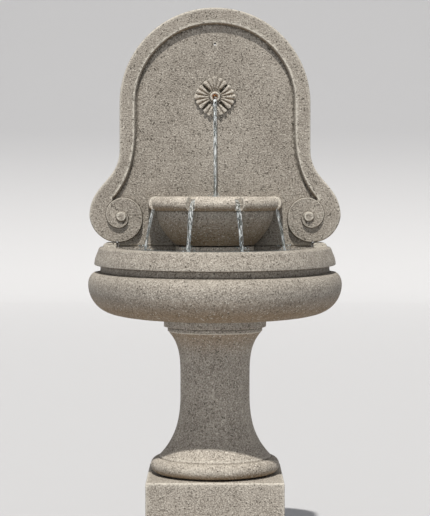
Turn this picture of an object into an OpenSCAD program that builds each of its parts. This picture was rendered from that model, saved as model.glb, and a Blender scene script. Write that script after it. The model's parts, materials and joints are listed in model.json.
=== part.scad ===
// Pedestal wall fountain in cast stone: plinth, turned pedestal, half-oval basin, scrolled
// arch backplate with a leaf rosette spout, and a small spill bowl fed by a submerged pump.
// X runs along the wall, +Y points into the wall, +Z is up. The origin is on the floor,
// midway between the wall face and the front of the basin. All sizes are in millimetres.

/* [Basin] */
// Half width of the basin at its widest moulding
basin_half_w = 333; // [325:1:340]
// Distance from the wall to the front of the basin
basin_depth = 496; // [484:2:510]
// Height of the basin from its underside to its rim
basin_h = 172; // [168:1:180]
// Thickness of the basin's floor
floor_t = 40; // [36:1:44]

/* [Pedestal and plinth] */
// Side of the square plinth
plinth_w = 344; // [340:2:360]
// Height of the plinth
plinth_h = 250; // [200:5:300]
// Height of the pedestal
pedestal_h = 394; // [380:2:420]
// Radius of the pedestal at its waist
waist_r = 88.3; // [84:0.1:94]
// Radius of the hollow through the pedestal
pedestal_bore_r = 55; // [50:1:60]

/* [Backplate] */
// Outer radius of the arch
arch_r = 248; // [244:1:252]
// Height of the arch centre above the bottom of the backplate
arch_rise = 370; // [360:1:380]
// Width of the raised border
border_w = 44; // [40:1:46]
// Thickness of the recessed panel
panel_t = 51; // [48:1:54]
// How far the border stands above the panel
border_raise = 14; // [10:1:16]
// Distance of each scroll's eye from the centre line
eye_x = 243; // [240:1:245]

/* [Spill bowl] */
// Outer radius of the bowl's rolled rim
bowl_r = 175; // [170:1:178]
// Height of the bowl's rim above the basin's rim
bowl_rise = 132; // [130:1:134]
// Width of each spill notch
notch_w = 18; // [14:1:22]
// Outer radius of the riser that carries the bowl
riser_r = 101.5; // [100:0.5:104]

/* [Spout] */
// Height of the spout above the bottom of the backplate
spout_rise = 387; // [380:1:392]
// Outer radius of the copper spout tube
spout_r = 6.35; // [6:0.05:6.5]
// Radius of the rosette at its leaf tips
rosette_r = 54; // [50:1:58]

/* [Hidden] */
$fn = 96;

// Colours of the finishes
stone = "#A0988A";
copper = "#9A6A4A";
brass = "#B08D4F";
steel = "#B9BCBD";
rubber = "#26262A";
hose_vinyl = "#3A3F42";
pump_plastic = "#2C2F33";

// Heights of the stacked pieces; each stone stands on thin shims
shim_t = 3;
wall_y = basin_depth / 2;
z_pedestal = plinth_h + shim_t;
z_basin = z_pedestal + pedestal_h + shim_t;
z_rim = z_basin + basin_h;
z_floor = z_basin + floor_t;
z_back = z_rim + shim_t;
z_spout = z_back + spout_rise;
z_bowl_rim = z_rim + bowl_rise;
pedestal_d = plinth_w / 2;
front_d = panel_t + border_raise;

// A point list along an arc of radii rx and rz
function oval(cx, cz, rx, rz, a0, a1, n) =
    [for (i = [0:n]) let(a = a0 + (a1 - a0) * i / n) [cx + rx * cos(a), cz + rz * sin(a)]];
// A point list along a cubic curve with the given end and handle points
function curve(p0, p1, p2, p3, n) =
    [for (i = [0:n]) let(t = i / n, s = 1 - t)
        s * s * s * p0 + 3 * s * s * t * p1 + 3 * s * t * t * p2 + t * t * t * p3];
function flip_x(points) = [for (i = [len(points) - 1:-1:0]) [-points[i][0], points[i][1]]];

// Moves a piece drawn with the wall face at y = 0 and the room at y < 0
module on_wall() {
    translate([0, wall_y, 0]) children();
}

// Turns a piece drawn along +Z so that it points from the wall towards the room
module outwards(d = 0, z = 0, x = 0) {
    translate([x, -d, z]) rotate([90, 0, 0]) children();
}

// ---------------------------------------------------------------- plinth and pedestal
plinth_wall = 34;
plinth_edge = 4;
plinth_top_t = 34;

// Square outline with its corners cut off
module chamfered_square(w, h, c) {
    polygon([[-w / 2 + c, 0], [w / 2 - c, 0], [w / 2, c], [w / 2, h - c],
             [w / 2 - c, h], [-w / 2 + c, h], [-w / 2, h - c], [-w / 2, c]]);
}

module plinth() {
    color(stone) on_wall() translate([0, -pedestal_d, 0]) difference() {
        intersection() {
            rotate([90, 0, 0]) linear_extrude(plinth_w, center = true)
                chamfered_square(plinth_w, plinth_h, plinth_edge);
            rotate([90, 0, 90]) linear_extrude(plinth_w, center = true)
                chamfered_square(plinth_w, plinth_h, plinth_edge);
            translate([0, -plinth_w / 2, 0]) linear_extrude(plinth_h)
                chamfered_square(plinth_w, plinth_w, plinth_edge);
        }
        translate([plinth_wall - plinth_w / 2, plinth_wall - plinth_w / 2, -1])
            cube([plinth_w - 2 * plinth_wall, plinth_w - 2 * plinth_wall, plinth_h - plinth_top_t + 1]);
        translate([0, 0, plinth_h / 2]) cylinder(h = plinth_h, r = pedestal_bore_r);
        // Notch for the cable at the foot of the rear wall
        translate([-25, plinth_w / 2 - plinth_wall - 1, -1]) cube([50, plinth_wall + 2, 31]);
    }
}

// Three levelling shims on a circle
module shims(ring_r, shim_r, z) {
    translate([0, 0, z])
        for (a = [90, 210, 330]) rotate([0, 0, a]) translate([ring_r, 0, 0])
            cylinder(h = shim_t, r = shim_r);
}

module pedestal_shims() {
    color(rubber) on_wall() translate([0, -pedestal_d, 0]) shims(118, 18, plinth_h);
}

torus_t = 19.5;
torus_c = 144.5;
foot_r = 142;
foot_z = 2 * torus_t + 4;
cap_r = 130.4;
cap_h = 23;
fillet_r = 120.6;
fillet_h = 10;
cap_edge = 4;
waist_z = 223;
neck_top = pedestal_h - cap_h - fillet_h;

// Radius of the neck at height z above the pedestal's foot
function neck_r(z) = z < waist_z
    ? waist_r + (foot_r - waist_r) * pow((waist_z - z) / (waist_z - foot_z), 3.2)
    : waist_r + (fillet_r - waist_r) * pow((z - waist_z) / (neck_top - waist_z), 4);

pedestal_profile = concat(
    [[pedestal_bore_r, 0]],
    oval(torus_c, torus_t, torus_t, torus_t, -90, 90, 16),
    [[foot_r, 2 * torus_t]],
    [for (i = [0:36]) let(z = foot_z + (neck_top - foot_z) * i / 36) [neck_r(z), z]],
    [[fillet_r, neck_top + fillet_h]],
    [[cap_r - 1, neck_top + fillet_h], [cap_r, neck_top + fillet_h + 1]],
    oval(cap_r - cap_edge, pedestal_h - cap_edge, cap_edge, cap_edge, 0, 90, 4),
    [[pedestal_bore_r, pedestal_h]]);

module pedestal() {
    color(stone) on_wall() translate([0, -pedestal_d, z_pedestal])
        rotate_extrude() polygon(pedestal_profile);
}

module basin_shims() {
    color(rubber) on_wall() translate([0, -pedestal_d, 0]) shims(98, 16, z_basin - shim_t);
}

// ---------------------------------------------------------------- basin
// The plan is half an ellipse; the mouldings keep their width all the way round it
plan_steps = 40;
function plan_point(a, off) =
    let(v = [cos(a) / basin_half_w, sin(a) / basin_depth], n = v / norm(v))
    [basin_half_w * cos(a) + off * n[0], -basin_depth * sin(a) - off * n[1]];

// Profile points are [offset from the widest outline, height above the underside]
bulge_z = 75;
bulge_top = 108;
fascia_z = 126;
fascia_in = 16;
groove_in = 31;
rim_in = 27;
rim_round = 8;
rim_w = 42;
back_wall_t = 62;
basin_outline = concat(
    oval(-73, bulge_z, 73, bulge_z, -90, 0, 12),
    oval(-22, bulge_z, 22, bulge_top - bulge_z - 1, 12, 78, 7),
    [[-groove_in, bulge_top], [-groove_in - 1, (bulge_top + fascia_z) / 2], [-groove_in, fascia_z]],
    [[-fascia_in - 2, fascia_z], [-fascia_in, fascia_z + 2]],
    oval(-rim_in - rim_round, basin_h - rim_round, rim_round, rim_round, 8, 90, 5));
basin_hollow = concat(
    oval(-rim_in - rim_w - 70, floor_t + 60, 58, 60, -90, 0, 8),
    [[-rim_in - rim_w, basin_h + 1]]);

// Sweeps a profile, listed from the bottom up, round the half-oval plan
module half_oval(outline) {
    m = len(outline);
    points = [for (i = [0:plan_steps], p = outline)
        concat(plan_point(180 * i / plan_steps, p[0]), [p[1]])];
    sides = [for (i = [0:plan_steps - 1], j = [0:m - 2], half = [0, 1])
        let(k = i * m + j) half == 0 ? [k, k + m, k + 1] : [k + 1, k + m, k + m + 1]];
    back = concat([for (j = [0:m - 1]) j], [for (j = [m - 1:-1:0]) plan_steps * m + j]);
    ends = [[for (i = [plan_steps:-1:0]) i * m], [for (i = [0:plan_steps]) i * m + m - 1]];
    polyhedron(points, concat(sides, [back], ends));
}

drain_x = -22;
cord_x = 22;
floor_hole_d = 196;
drain_hole_r = 14;
cord_hole_r = 16;
dowel_x = 180;
dowel_r = 5;
dowel_half = 38;
dowel_d = 28;
ear_x = 256;
ear_w = 36;
ear_h = 12;
ear_d = 66;

module basin() {
    color(stone) on_wall() translate([0, 0, z_basin]) {
        difference() {
            half_oval(basin_outline);
            intersection() {
                half_oval(basin_hollow);
                translate([-basin_half_w, -basin_depth, 0])
                    cube([2 * basin_half_w, basin_depth - back_wall_t, 2 * basin_h]);
            }
            translate([drain_x, -floor_hole_d, -1]) cylinder(h = floor_t + 2, r = drain_hole_r);
            translate([cord_x, -floor_hole_d, -1]) cylinder(h = floor_t + 2, r = cord_hole_r);
            for (x = [-dowel_x, dowel_x]) translate([x, -dowel_d, basin_h - dowel_half])
                cylinder(h = dowel_half + 1, r = dowel_r + 0.1);
        }
        // Raised ears at the rear corners, which locate the backplate
        for (m = [0, 1]) mirror([m, 0, 0]) outwards(x = ear_x, z = basin_h - 1)
            linear_extrude(ear_d)
                polygon([[0, 0], [ear_w, 0], [ear_w - 2, ear_h - 5], [ear_w - 10, ear_h + 1],
                         [0, ear_h + 1]]);
    }
}

flange_t = 3;
module drain_bushing() {
    color(pump_plastic) on_wall() translate([drain_x, -floor_hole_d, z_basin]) difference() {
        union() {
            cylinder(h = floor_t, r = drain_hole_r);
            translate([0, 0, floor_t]) cylinder(h = flange_t, r = drain_hole_r + 4);
        }
        translate([0, 0, -1]) cylinder(h = floor_t + flange_t + 2, r = drain_hole_r - 3);
    }
}

module drain_stopper() {
    color(rubber) on_wall() translate([drain_x, -floor_hole_d, z_floor + flange_t]) {
        translate([0, 0, -22]) cylinder(h = 22.3, r = drain_hole_r - 3.3);
        translate([0, 0, 0.3]) cylinder(h = 4, r = drain_hole_r - 0.5);
        // Pull ring moulded on the head
        translate([0, 0, 10]) rotate([90, 0, 0]) rotate_extrude() translate([6, 0]) circle(r = 1.4);
    }
}

module cord_stopper() {
    color(rubber) on_wall() translate([cord_x, -floor_hole_d, z_basin]) difference() {
        union() {
            translate([0, 0, 8]) cylinder(h = floor_t - 8, r = cord_hole_r);
            translate([0, 0, floor_t]) cylinder(h = flange_t + 2, r = cord_hole_r + 3);
        }
        translate([0, 0, -1]) cylinder(h = floor_t + 10, r = 3.5);
        // Slit that lets the cable in from the side
        translate([0, -0.5, -1]) cube([cord_hole_r + 5, 1, floor_t + 10]);
    }
}

// ---------------------------------------------------------------- backplate
eye_z = 77;
side_z = 250;
base_half_w = 253;
// Radius of the scroll's spiral at each quarter turn, from its outer side inwards
scroll_r = [84, 67, 55, 50, 41, 30, 17, 14.5, 15.5, 14];
eye_button_r = 14;
// Each whorl starts under the eye: [its first quarter turn, its height above the border]
whorls = [[1, 6], [5, 10]];
eye_raise = 12.5;

// Radius of the spiral after q quarter turns, in straight steps between the quarters
function spiral_r(q) = let(i = max(0, min(floor(q), len(scroll_r) - 2)), f = q - i)
    scroll_r[i] + (scroll_r[i + 1] - scroll_r[i]) * f;
function spiral_point(q) = [eye_x + spiral_r(q) * cos(-90 * q), eye_z + spiral_r(q) * sin(-90 * q)];
function spiral(q0, q1, n) = [for (i = [0:n]) spiral_point(q0 + (q1 - q0) * i / n)];

arch_half = oval(0, arch_rise, arch_r, arch_r, 0, 90, 24);
ogee = curve([eye_x + scroll_r[0], eye_z], [eye_x + scroll_r[0], eye_z + 84],
             [arch_r, side_z - 80], [arch_r, side_z], 20);
plate_half = concat(
    [[base_half_w, 0], [base_half_w, eye_z - scroll_r[1] + 1]],
    spiral(0.84, 0, 10), ogee, arch_half);

panel_r = arch_r - border_w;
panel_half = concat(
    [[eye_x + 19, -1], [eye_x + 19, eye_z + 46]],
    curve([eye_x + 19, eye_z + 46], [arch_r - 42, eye_z + 108],
          [panel_r, side_z + 15], [panel_r, side_z + 75], 14),
    oval(0, arch_rise, panel_r, panel_r, 0, 90, 24));

module plate_outline() {
    polygon(concat(plate_half, flip_x(plate_half)));
}

module panel_outline() {
    polygon(concat(panel_half, flip_x(panel_half)));
}

channel_w = 60;
channel_d = 32;
channel_top = 440;
hose_notch_w = 24;
hose_notch_top = 50;
fixing_r = 3.5;
fixing_z = 525;
pin_x = 90;
pin_z = 78;
pin_r = 4;
pin_half = 18;

module backplate() {
    color(stone) on_wall() difference() {
        union() {
            outwards(z = z_back) linear_extrude(panel_t) plate_outline();
            outwards(d = panel_t - 1, z = z_back) linear_extrude(border_raise + 1) difference() {
                plate_outline();
                panel_outline();
            }
            // Scrolls: each whorl is a little higher than the one outside it
            for (m = [0, 1]) mirror([m, 0, 0]) {
                outwards(d = panel_t - 1, z = z_back) linear_extrude(border_raise + 1)
                    polygon(spiral(0, 4, 40));
                for (w = whorls) outwards(d = front_d - 1, z = z_back)
                    linear_extrude(1 + w[1]) polygon(spiral(w[0], w[0] + 4, 40));
                outwards(d = front_d, z = z_back + eye_z, x = eye_x)
                    cylinder(h = eye_raise, r = eye_button_r);
            }
        }
        // Channel up the rear for the hose, with a notch to the basin side
        translate([-channel_w / 2, -channel_d, z_back - 1]) cube([channel_w, channel_d + 1, channel_top]);
        translate([-hose_notch_w / 2, -panel_t - 1, z_back - 1])
            cube([hose_notch_w, panel_t, hose_notch_top]);
        outwards(z = z_spout) cylinder(h = panel_t + 1, r = spout_r + 0.15);
        outwards(d = -1, z = z_back + fixing_z) cylinder(h = panel_t + 2, r = fixing_r);
        for (x = [-dowel_x, dowel_x]) translate([x, -dowel_d, z_back - 1])
            cylinder(h = dowel_half + 1, r = dowel_r + 0.1);
        for (x = [-pin_x, pin_x]) outwards(d = panel_t - pin_half, z = z_back + pin_z, x = x)
            cylinder(h = pin_half + 1, r = pin_r + 0.1);
    }
}

strip_l = 504;
strip_w = 12;
strip_d = 47;
module backplate_shims() {
    color(rubber) on_wall() translate([-strip_l / 2, -strip_d, z_rim])
        cube([strip_l, strip_w, shim_t]);
}

module backplate_dowels() {
    color(steel) on_wall() for (x = [-dowel_x, dowel_x])
        translate([x, -dowel_d, z_rim - dowel_half + 1])
            cylinder(h = 2 * dowel_half + shim_t - 3, r = dowel_r);
}

// ---------------------------------------------------------------- rosette
rosette_t = 10;
rosette_ring_r = 13.5;
rosette_ring_h = 16;
leaf_lobes = [[0, 0], [18, 3], [34, 5]];

// Outline radius of a leaf at angle u from its middle: five rounded lobes
function leaf_r(u) = rosette_r - min([for (l = leaf_lobes) l[1] + 0.05 * pow(abs(u) - l[0], 2)]);

module rosette() {
    color(stone) on_wall() outwards(d = panel_t, z = z_spout) difference() {
        union() {
            linear_extrude(rosette_t) polygon([for (i = [0:143])
                let(a = i * 2.5, u = a - 90 * round(a / 90)) leaf_r(u) * [cos(a), sin(a)]]);
            cylinder(h = rosette_ring_h, r = rosette_ring_r);
        }
        translate([0, 0, -1]) cylinder(h = rosette_ring_h + 2, r = spout_r + 0.15);
        // Slits between the four leaves
        for (a = [45:90:315]) rotate([0, 0, a]) translate([18, 0, 2])
            linear_extrude(rosette_t) polygon([[0, -2.5], [30, -1.2], [30, 1.2], [0, 2.5]]);
    }
}

// ---------------------------------------------------------------- bowl and riser
bowl_d = panel_t + 26;
bowl_back = 0.5;
z_bowl = z_rim + 6;
bowl_h = z_bowl_rim - z_bowl;
roll_r = 18.5;
body_r = bowl_r - 23;
body_h = bowl_h - 2 * roll_r;
wall_in = 33;
bowl_floor = 38;
notch_angles = [-72, -21, 21, 72];

// Flat underside as wide as the riser, then a side that swells up to the rolled rim
bowl_outline = concat(
    [[0, 0]],
    [for (i = [0:14])
        [riser_r + (body_r - riser_r) * (1 - pow(1 - i / 14, 1.9)), body_h * i / 14]],
    oval(bowl_r - roll_r, bowl_h - roll_r, roll_r, roll_r, -78, 90, 12),
    [[0, bowl_h]]);
bowl_hollow = concat(
    [[0, bowl_floor]],
    [for (i = [0:10]) let(a = 90 - 90 * i / 10)
        [(bowl_r - wall_in) * pow(cos(a), 0.7),
         bowl_floor + (bowl_h - 10 - bowl_floor) * (1 - pow(sin(a), 0.9))]],
    [[bowl_r - wall_in + 3, bowl_h + 1], [0, bowl_h + 1]]);

// Half-round body with a straight stretch at its rear; its centre is at y = 0
module half_round(outline, straight) {
    rotate([0, 0, 180]) rotate_extrude(angle = 180) polygon(outline);
    translate([0, straight, 0]) rotate([90, 0, 0]) linear_extrude(straight) {
        polygon(outline);
        mirror([1, 0, 0]) polygon(outline);
    }
}

// Sloping spillway across the rim
module spill_notch() {
    rotate([90, 0, 0]) linear_extrude(notch_w, center = true)
        polygon([[bowl_r - 50, bowl_h - 10], [body_r - 2, bowl_h - 13], [body_r + 6, bowl_h - 32],
                 [bowl_r + 5, bowl_h - 42], [bowl_r + 5, bowl_h + 1], [bowl_r - 50, bowl_h + 1]]);
}

module bowl() {
    color(stone) on_wall() translate([0, -bowl_d, z_bowl]) difference() {
        half_round(bowl_outline, bowl_d - panel_t - bowl_back);
        half_round(bowl_hollow, 1);
        for (a = notch_angles) rotate([0, 0, a - 90]) spill_notch();
        // Pocket under the rear for the hose
        translate([-11, -29, -1]) cube([22, 60, 23]);
        for (x = [-pin_x, pin_x]) outwards(d = -bowl_d + panel_t, z = z_back + pin_z - z_bowl, x = x)
            cylinder(h = pin_half + 1, r = pin_r + 0.1);
    }
}

module bowl_pins() {
    color(steel) on_wall() for (x = [-pin_x, pin_x])
        outwards(d = panel_t - pin_half + 1, z = z_back + pin_z, x = x)
            cylinder(h = 2 * pin_half - 1, r = pin_r);
}

riser_wall = 22;
riser_bottom = z_floor + shim_t;
riser_top = z_rim + shim_t;
riser_h = riser_top - riser_bottom;

module riser_half(r, h, straight) {
    half_round([[0, 0], [r, 0], [r, h], [0, h]], straight);
}

module bowl_riser() {
    color(stone) on_wall() translate([0, -bowl_d, riser_bottom]) difference() {
        riser_half(riser_r, riser_h, bowl_d - back_wall_t - 1);
        translate([0, 0, -1]) riser_half(riser_r - riser_wall, riser_h + 2, 40);
        // Water windows at the foot of each side
        translate([-riser_r - 1, -45, -1]) cube([2 * riser_r + 2, 36, 29]);
    }
}

module bowl_shims() {
    color(rubber) on_wall() translate([0, -bowl_d, 0])
        for (z = [z_floor, riser_top], a = [200, 270, 340])
            translate([0, 0, z]) rotate([0, 0, a]) translate([riser_r - riser_wall / 2, 0, 0])
                cylinder(h = shim_t, r = 8);
}

// ---------------------------------------------------------------- spout
elbow_d = 17;
socket_d = 18;
elbow_front = 25.4;
elbow_r = 8;
barb_r = 5.9;
barb_l = 26;
spout_end = panel_t + rosette_ring_h + 0.5;

module spout_tube() {
    color(copper) on_wall() outwards(d = socket_d, z = z_spout) difference() {
        cylinder(h = spout_end - socket_d, r = spout_r);
        translate([0, 0, -1]) cylinder(h = spout_end, r = spout_r - 0.9);
    }
}

module spout_washer() {
    color(rubber) on_wall() outwards(d = channel_d - 2, z = z_spout) difference() {
        cylinder(h = 2, r = 12);
        translate([0, 0, -1]) cylinder(h = 4, r = spout_r);
    }
}

module spout_locknut() {
    color(brass) on_wall() outwards(d = elbow_front + 0.3, z = z_spout) difference() {
        cylinder(h = channel_d - 2.3 - elbow_front, r = 11, $fn = 6);
        translate([0, 0, -1]) cylinder(h = 10, r = spout_r);
    }
}

module spout_elbow() {
    color(brass) on_wall() difference() {
        union() {
            translate([0, -elbow_d, z_spout - 20]) cylinder(h = 20 + elbow_r, r = elbow_r);
            outwards(d = elbow_d, z = z_spout) cylinder(h = elbow_front - elbow_d, r = elbow_r - 0.5);
            translate([0, -elbow_d, z_spout - 20 - barb_l]) cylinder(h = barb_l, r = barb_r);
        }
        outwards(d = socket_d, z = z_spout) cylinder(h = 20, r = spout_r);
        outwards(d = elbow_d - 3, z = z_spout) cylinder(h = 20, r = 4);
        translate([0, -elbow_d, z_spout - 21 - barb_l]) cylinder(h = 21 + barb_l, r = 4);
    }
}

// The hose climbs from the pump, passes over the basin's rear wall and rises in the channel
hose_r = 8;
hose_in = 6;
pump_d = 106;
hose_bend = (pump_d - elbow_d) / 2;
hose_mid_z = z_rim + 18;
pump_axis_z = z_floor + 31;
nipple_top = pump_axis_z + 51;

module hose_ring() {
    difference() {
        circle(r = hose_r);
        circle(r = hose_in);
    }
}

// Quarter bend of the hose in the Y-Z plane
module hose_quarter() {
    rotate_extrude(angle = 90) translate([hose_bend, 0]) hose_ring();
}

module supply_hose() {
    color(hose_vinyl) on_wall() {
        translate([0, -pump_d, nipple_top - 20])
            linear_extrude(hose_mid_z - hose_bend - nipple_top + 20) hose_ring();
        translate([0, hose_bend - pump_d, hose_mid_z - hose_bend])
            rotate([0, -90, 0]) rotate([0, 0, -90]) hose_quarter();
        translate([0, hose_bend - pump_d, hose_mid_z + hose_bend])
            rotate([0, -90, 0]) rotate([0, 0, 90]) mirror([1, 0, 0]) rotate([0, 0, 90]) hose_quarter();
        translate([0, -elbow_d, hose_mid_z + hose_bend])
            linear_extrude(z_spout - 22 - hose_mid_z - hose_bend) hose_ring();
    }
}

module clamp_band() {
    difference() {
        cylinder(h = 9, r = hose_r + 0.8);
        translate([0, 0, -1]) cylinder(h = 11, r = hose_r);
    }
    translate([hose_r + 0.4, -5, 1]) cube([5, 10, 7]);
}

module hose_clamps() {
    color(steel) on_wall() {
        translate([0, -pump_d, nipple_top - 14]) clamp_band();
        translate([0, -elbow_d, z_spout - 38]) clamp_band();
    }
}

// ---------------------------------------------------------------- pump
// Drawn with the rotor's axis along +X through the origin
housing_l = 44;
housing_w = 46;
housing_t = 3;
joint_x = -9;
sleeve_in = 11.5;
sleeve_out = 13;
rotor_l = 24;
chamber_r = 17.5;
cover_r = 22;
cover_l = 18;
shaft_r = 1.5;
pump_gap = 0.3;

module at_pump() {
    on_wall() translate([0, -pump_d, pump_axis_z]) children();
}

// A cylinder along +X that starts at x
module axle(x, l, r) {
    translate([x, 0, 0]) rotate([0, 90, 0]) cylinder(h = l, r = r);
}

module pump_housing() {
    color(pump_plastic) at_pump() difference() {
        translate([joint_x - housing_l, -housing_w / 2, -housing_w / 2])
            cube([housing_l, housing_w, housing_w]);
        // Chamber for the windings, round the rotor's sleeve
        difference() {
            translate([joint_x - housing_l + housing_t, housing_t - housing_w / 2, housing_t - housing_w / 2])
                cube([housing_l - 2 * housing_t, housing_w - 2 * housing_t, housing_w - 2 * housing_t]);
            axle(joint_x - rotor_l - 8, rotor_l + 8, sleeve_out);
        }
        axle(joint_x - rotor_l - 6, rotor_l + 7, sleeve_in);
        axle(joint_x - housing_l - 1, housing_t + 2, 4);
    }
}

module pump_feet() {
    color(rubber) at_pump() for (x = [joint_x - housing_l + 8, joint_x - 9], y = [-14, 14])
        translate([x, y, z_floor - pump_axis_z]) cylinder(h = pump_axis_z - z_floor - housing_w / 2, r = 6);
}

module pump_cable_gland() {
    color(rubber) at_pump() difference() {
        union() {
            axle(joint_x - housing_l, housing_t, 4);
            axle(joint_x - housing_l - 3, 3, 6.5);
            axle(joint_x - housing_l - 9, 6, 4.5);
        }
        axle(joint_x - housing_l - 10, 20, 3);
    }
}

core_x = joint_x - rotor_l;
module stator_core() {
    color(steel) at_pump() difference() {
        translate([core_x, -19, -19]) cube([18, 38, 38]);
        axle(core_x - 1, 20, sleeve_out + 0.2);
        for (y = [-19.5, 19.5], z = [-19.5, 19.5]) translate([core_x - 1, y - 4, z - 4]) cube([20, 8, 8]);
    }
}

module stator_coil() {
    color(copper) at_pump() difference() {
        axle(core_x - 8.7, 8.4, 18.5);
        axle(core_x - 9.7, 10.4, sleeve_out + 0.2);
    }
}

module pump_bushes() {
    color(rubber) at_pump() difference() {
        union() {
            axle(joint_x - rotor_l - 6, 3, sleeve_in);
            axle(joint_x + cover_l - 5, 3, 3.4);
        }
        axle(joint_x - housing_l, 2 * housing_l, shaft_r);
    }
}

module pump_shaft() {
    color("white") at_pump() axle(joint_x - rotor_l - 6, rotor_l + 4 + cover_l, shaft_r);
}

module rotor_magnet() {
    color("#4A4A4E") at_pump() difference() {
        axle(joint_x - rotor_l - 2, rotor_l - 2, 10.8);
        axle(joint_x - rotor_l - 3, rotor_l + 2, shaft_r + 0.06);
    }
}

module impeller() {
    color(pump_plastic) at_pump() difference() {
        union() {
            axle(joint_x - 4, 2, 6);
            axle(joint_x - 2 + pump_gap, 11, 4);
            axle(joint_x + 1, 1.6, 15.5);
            for (a = [0:60:300]) rotate([a, 0, 0]) translate([joint_x + 2, -0.8, 3])
                cube([7, 1.6, 12]);
            axle(joint_x - 3, 4.2, 4);
        }
        axle(joint_x - 5, 20, shaft_r + 0.06);
    }
}

module pump_seal() {
    color(rubber) at_pump() translate([joint_x + 0.3, 0, 0]) rotate([0, 90, 0]) translate([0, 0, 0.8])
        rotate_extrude() translate([19.7, 0]) circle(r = 0.8);
}

spider_x = joint_x + cover_l - 5.5;
spider_t = 5;
hub_r = 5;
inlet_r = 10;

module impeller_cover() {
    color(pump_plastic) at_pump() difference() {
        union() {
            difference() {
                union() {
                    axle(joint_x, cover_l, cover_r);
                    cylinder(h = nipple_top - pump_axis_z, r = 5.9);
                }
                axle(joint_x - 1, cover_l - 6, chamber_r);
                // Groove for the seal
                difference() {
                    axle(joint_x - 1, 3, 20.6);
                    axle(joint_x - 2, 5, 18.8);
                }
                translate([0, 0, chamber_r - 4]) cylinder(h = 60, r = 4.2);
                axle(joint_x + 5, cover_l, inlet_r);
            }
            // Three-armed spider across the inlet, which holds the front bush
            axle(spider_x, spider_t, hub_r);
            for (a = [30:120:270]) rotate([a, 0, 0]) translate([spider_x, -1.25, hub_r - 1])
                cube([spider_t, 2.5, inlet_r + 2 - hub_r]);
        }
        axle(joint_x + cover_l - 5, 3, 3.4);
        axle(joint_x + cover_l - 7, 3, shaft_r + 0.5);
    }
}

strainer_x = joint_x + cover_l + pump_gap;
strainer_l = 22;
module strainer() {
    color(pump_plastic) at_pump() difference() {
        axle(strainer_x, strainer_l, cover_r);
        axle(strainer_x - 1, strainer_l - 1, cover_r - 2);
        axle(strainer_x, strainer_l + 1, 3);
        // Intake slots round the side and through the front
        for (a = [0:24:336]) rotate([a, 0, 0]) translate([strainer_x + 3, -1.25, cover_r - 6])
            cube([strainer_l - 7, 2.5, 10]);
        for (a = [0:45:315]) rotate([a, 0, 0]) translate([strainer_x + 10, -1.25, 11])
            cube([strainer_l, 2.5, 7]);
    }
}

module flow_dial() {
    color("#6B7075") at_pump() difference() {
        union() {
            axle(strainer_x + strainer_l + pump_gap, 4, 8.5);
            axle(strainer_x + strainer_l - 6, 7, 2.94);
            axle(strainer_x + strainer_l - 6, 2, 6);
            translate([strainer_x + strainer_l + 3, -1.5, -8]) cube([4.5, 3, 16]);
        }
        // Pointer notch in the dial's edge
        translate([strainer_x + strainer_l, -1, 7.5]) cube([5, 2, 3]);
    }
}

plinth();
pedestal_shims();
pedestal();
basin_shims();
basin();
drain_bushing();
drain_stopper();
cord_stopper();
backplate_shims();
backplate_dowels();
backplate();
rosette();
bowl_riser();
bowl_shims();
bowl_pins();
bowl();
spout_tube();
spout_washer();
spout_locknut();
spout_elbow();
supply_hose();
hose_clamps();
pump_feet();
pump_housing();
pump_cable_gland();
stator_core();
stator_coil();
pump_bushes();
pump_shaft();
rotor_magnet();
impeller();
pump_seal();
impeller_cover();
strainer();
flow_dial();
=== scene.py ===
"""Looks of a cast stone wall fountain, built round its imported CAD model."""
import json
import math

import bmesh
import bpy
import numpy as np
from bpy.props import FloatProperty, FloatVectorProperty, IntProperty, PointerProperty
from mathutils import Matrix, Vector, noise
from mathutils.geometry import delaunay_2d_cdt


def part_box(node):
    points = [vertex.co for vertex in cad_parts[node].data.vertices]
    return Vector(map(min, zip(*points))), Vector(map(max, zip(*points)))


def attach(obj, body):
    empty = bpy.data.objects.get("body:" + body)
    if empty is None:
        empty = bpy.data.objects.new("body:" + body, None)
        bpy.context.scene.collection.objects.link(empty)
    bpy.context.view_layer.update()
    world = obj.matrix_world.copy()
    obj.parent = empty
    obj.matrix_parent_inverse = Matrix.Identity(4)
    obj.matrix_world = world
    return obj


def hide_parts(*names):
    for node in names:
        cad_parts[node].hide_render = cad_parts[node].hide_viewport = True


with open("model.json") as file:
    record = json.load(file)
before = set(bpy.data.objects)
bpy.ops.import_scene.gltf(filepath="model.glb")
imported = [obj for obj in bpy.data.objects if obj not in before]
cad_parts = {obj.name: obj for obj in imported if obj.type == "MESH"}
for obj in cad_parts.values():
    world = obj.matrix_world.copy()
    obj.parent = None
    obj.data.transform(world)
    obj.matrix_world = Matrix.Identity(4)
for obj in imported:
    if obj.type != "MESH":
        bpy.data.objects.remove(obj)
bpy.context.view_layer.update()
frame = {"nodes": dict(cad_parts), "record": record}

bl_info = {
    "name": "Wall Fountain",
    "version": (1, 0, 0),
    "blender": (4, 5, 0),
    "location": "3D View > Sidebar > Fountain",
    "description": "Builds the stone, water and fittings of a wall fountain round its CAD frame",
    "category": "Object",
}

MM = 0.001
WALL_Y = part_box("backplate")[1].y
PLINTH_LOW, PLINTH_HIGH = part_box("plinth")
PEDESTAL_LOW, PEDESTAL_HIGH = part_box("pedestal")
BASIN_LOW, BASIN_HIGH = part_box("basin")
BACK_LOW, BACK_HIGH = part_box("backplate")
BOWL_LOW, BOWL_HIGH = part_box("bowl")
SPOUT_LOW, SPOUT_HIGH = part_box("spout_tube")

# Pedestal axis, bowl centre and spout, measured out from the wall and up from the floor, in mm
PEDESTAL_D = (WALL_Y - (PLINTH_LOW.y + PLINTH_HIGH.y) / 2) / MM
BOWL_D = 77
BOWL_Z = BOWL_LOW.z / MM
BACK_Z = BACK_LOW.z / MM
BASIN_Z = BASIN_LOW.z / MM
SPOUT_Z = (SPOUT_LOW.z + SPOUT_HIGH.z) / 2 / MM
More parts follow.
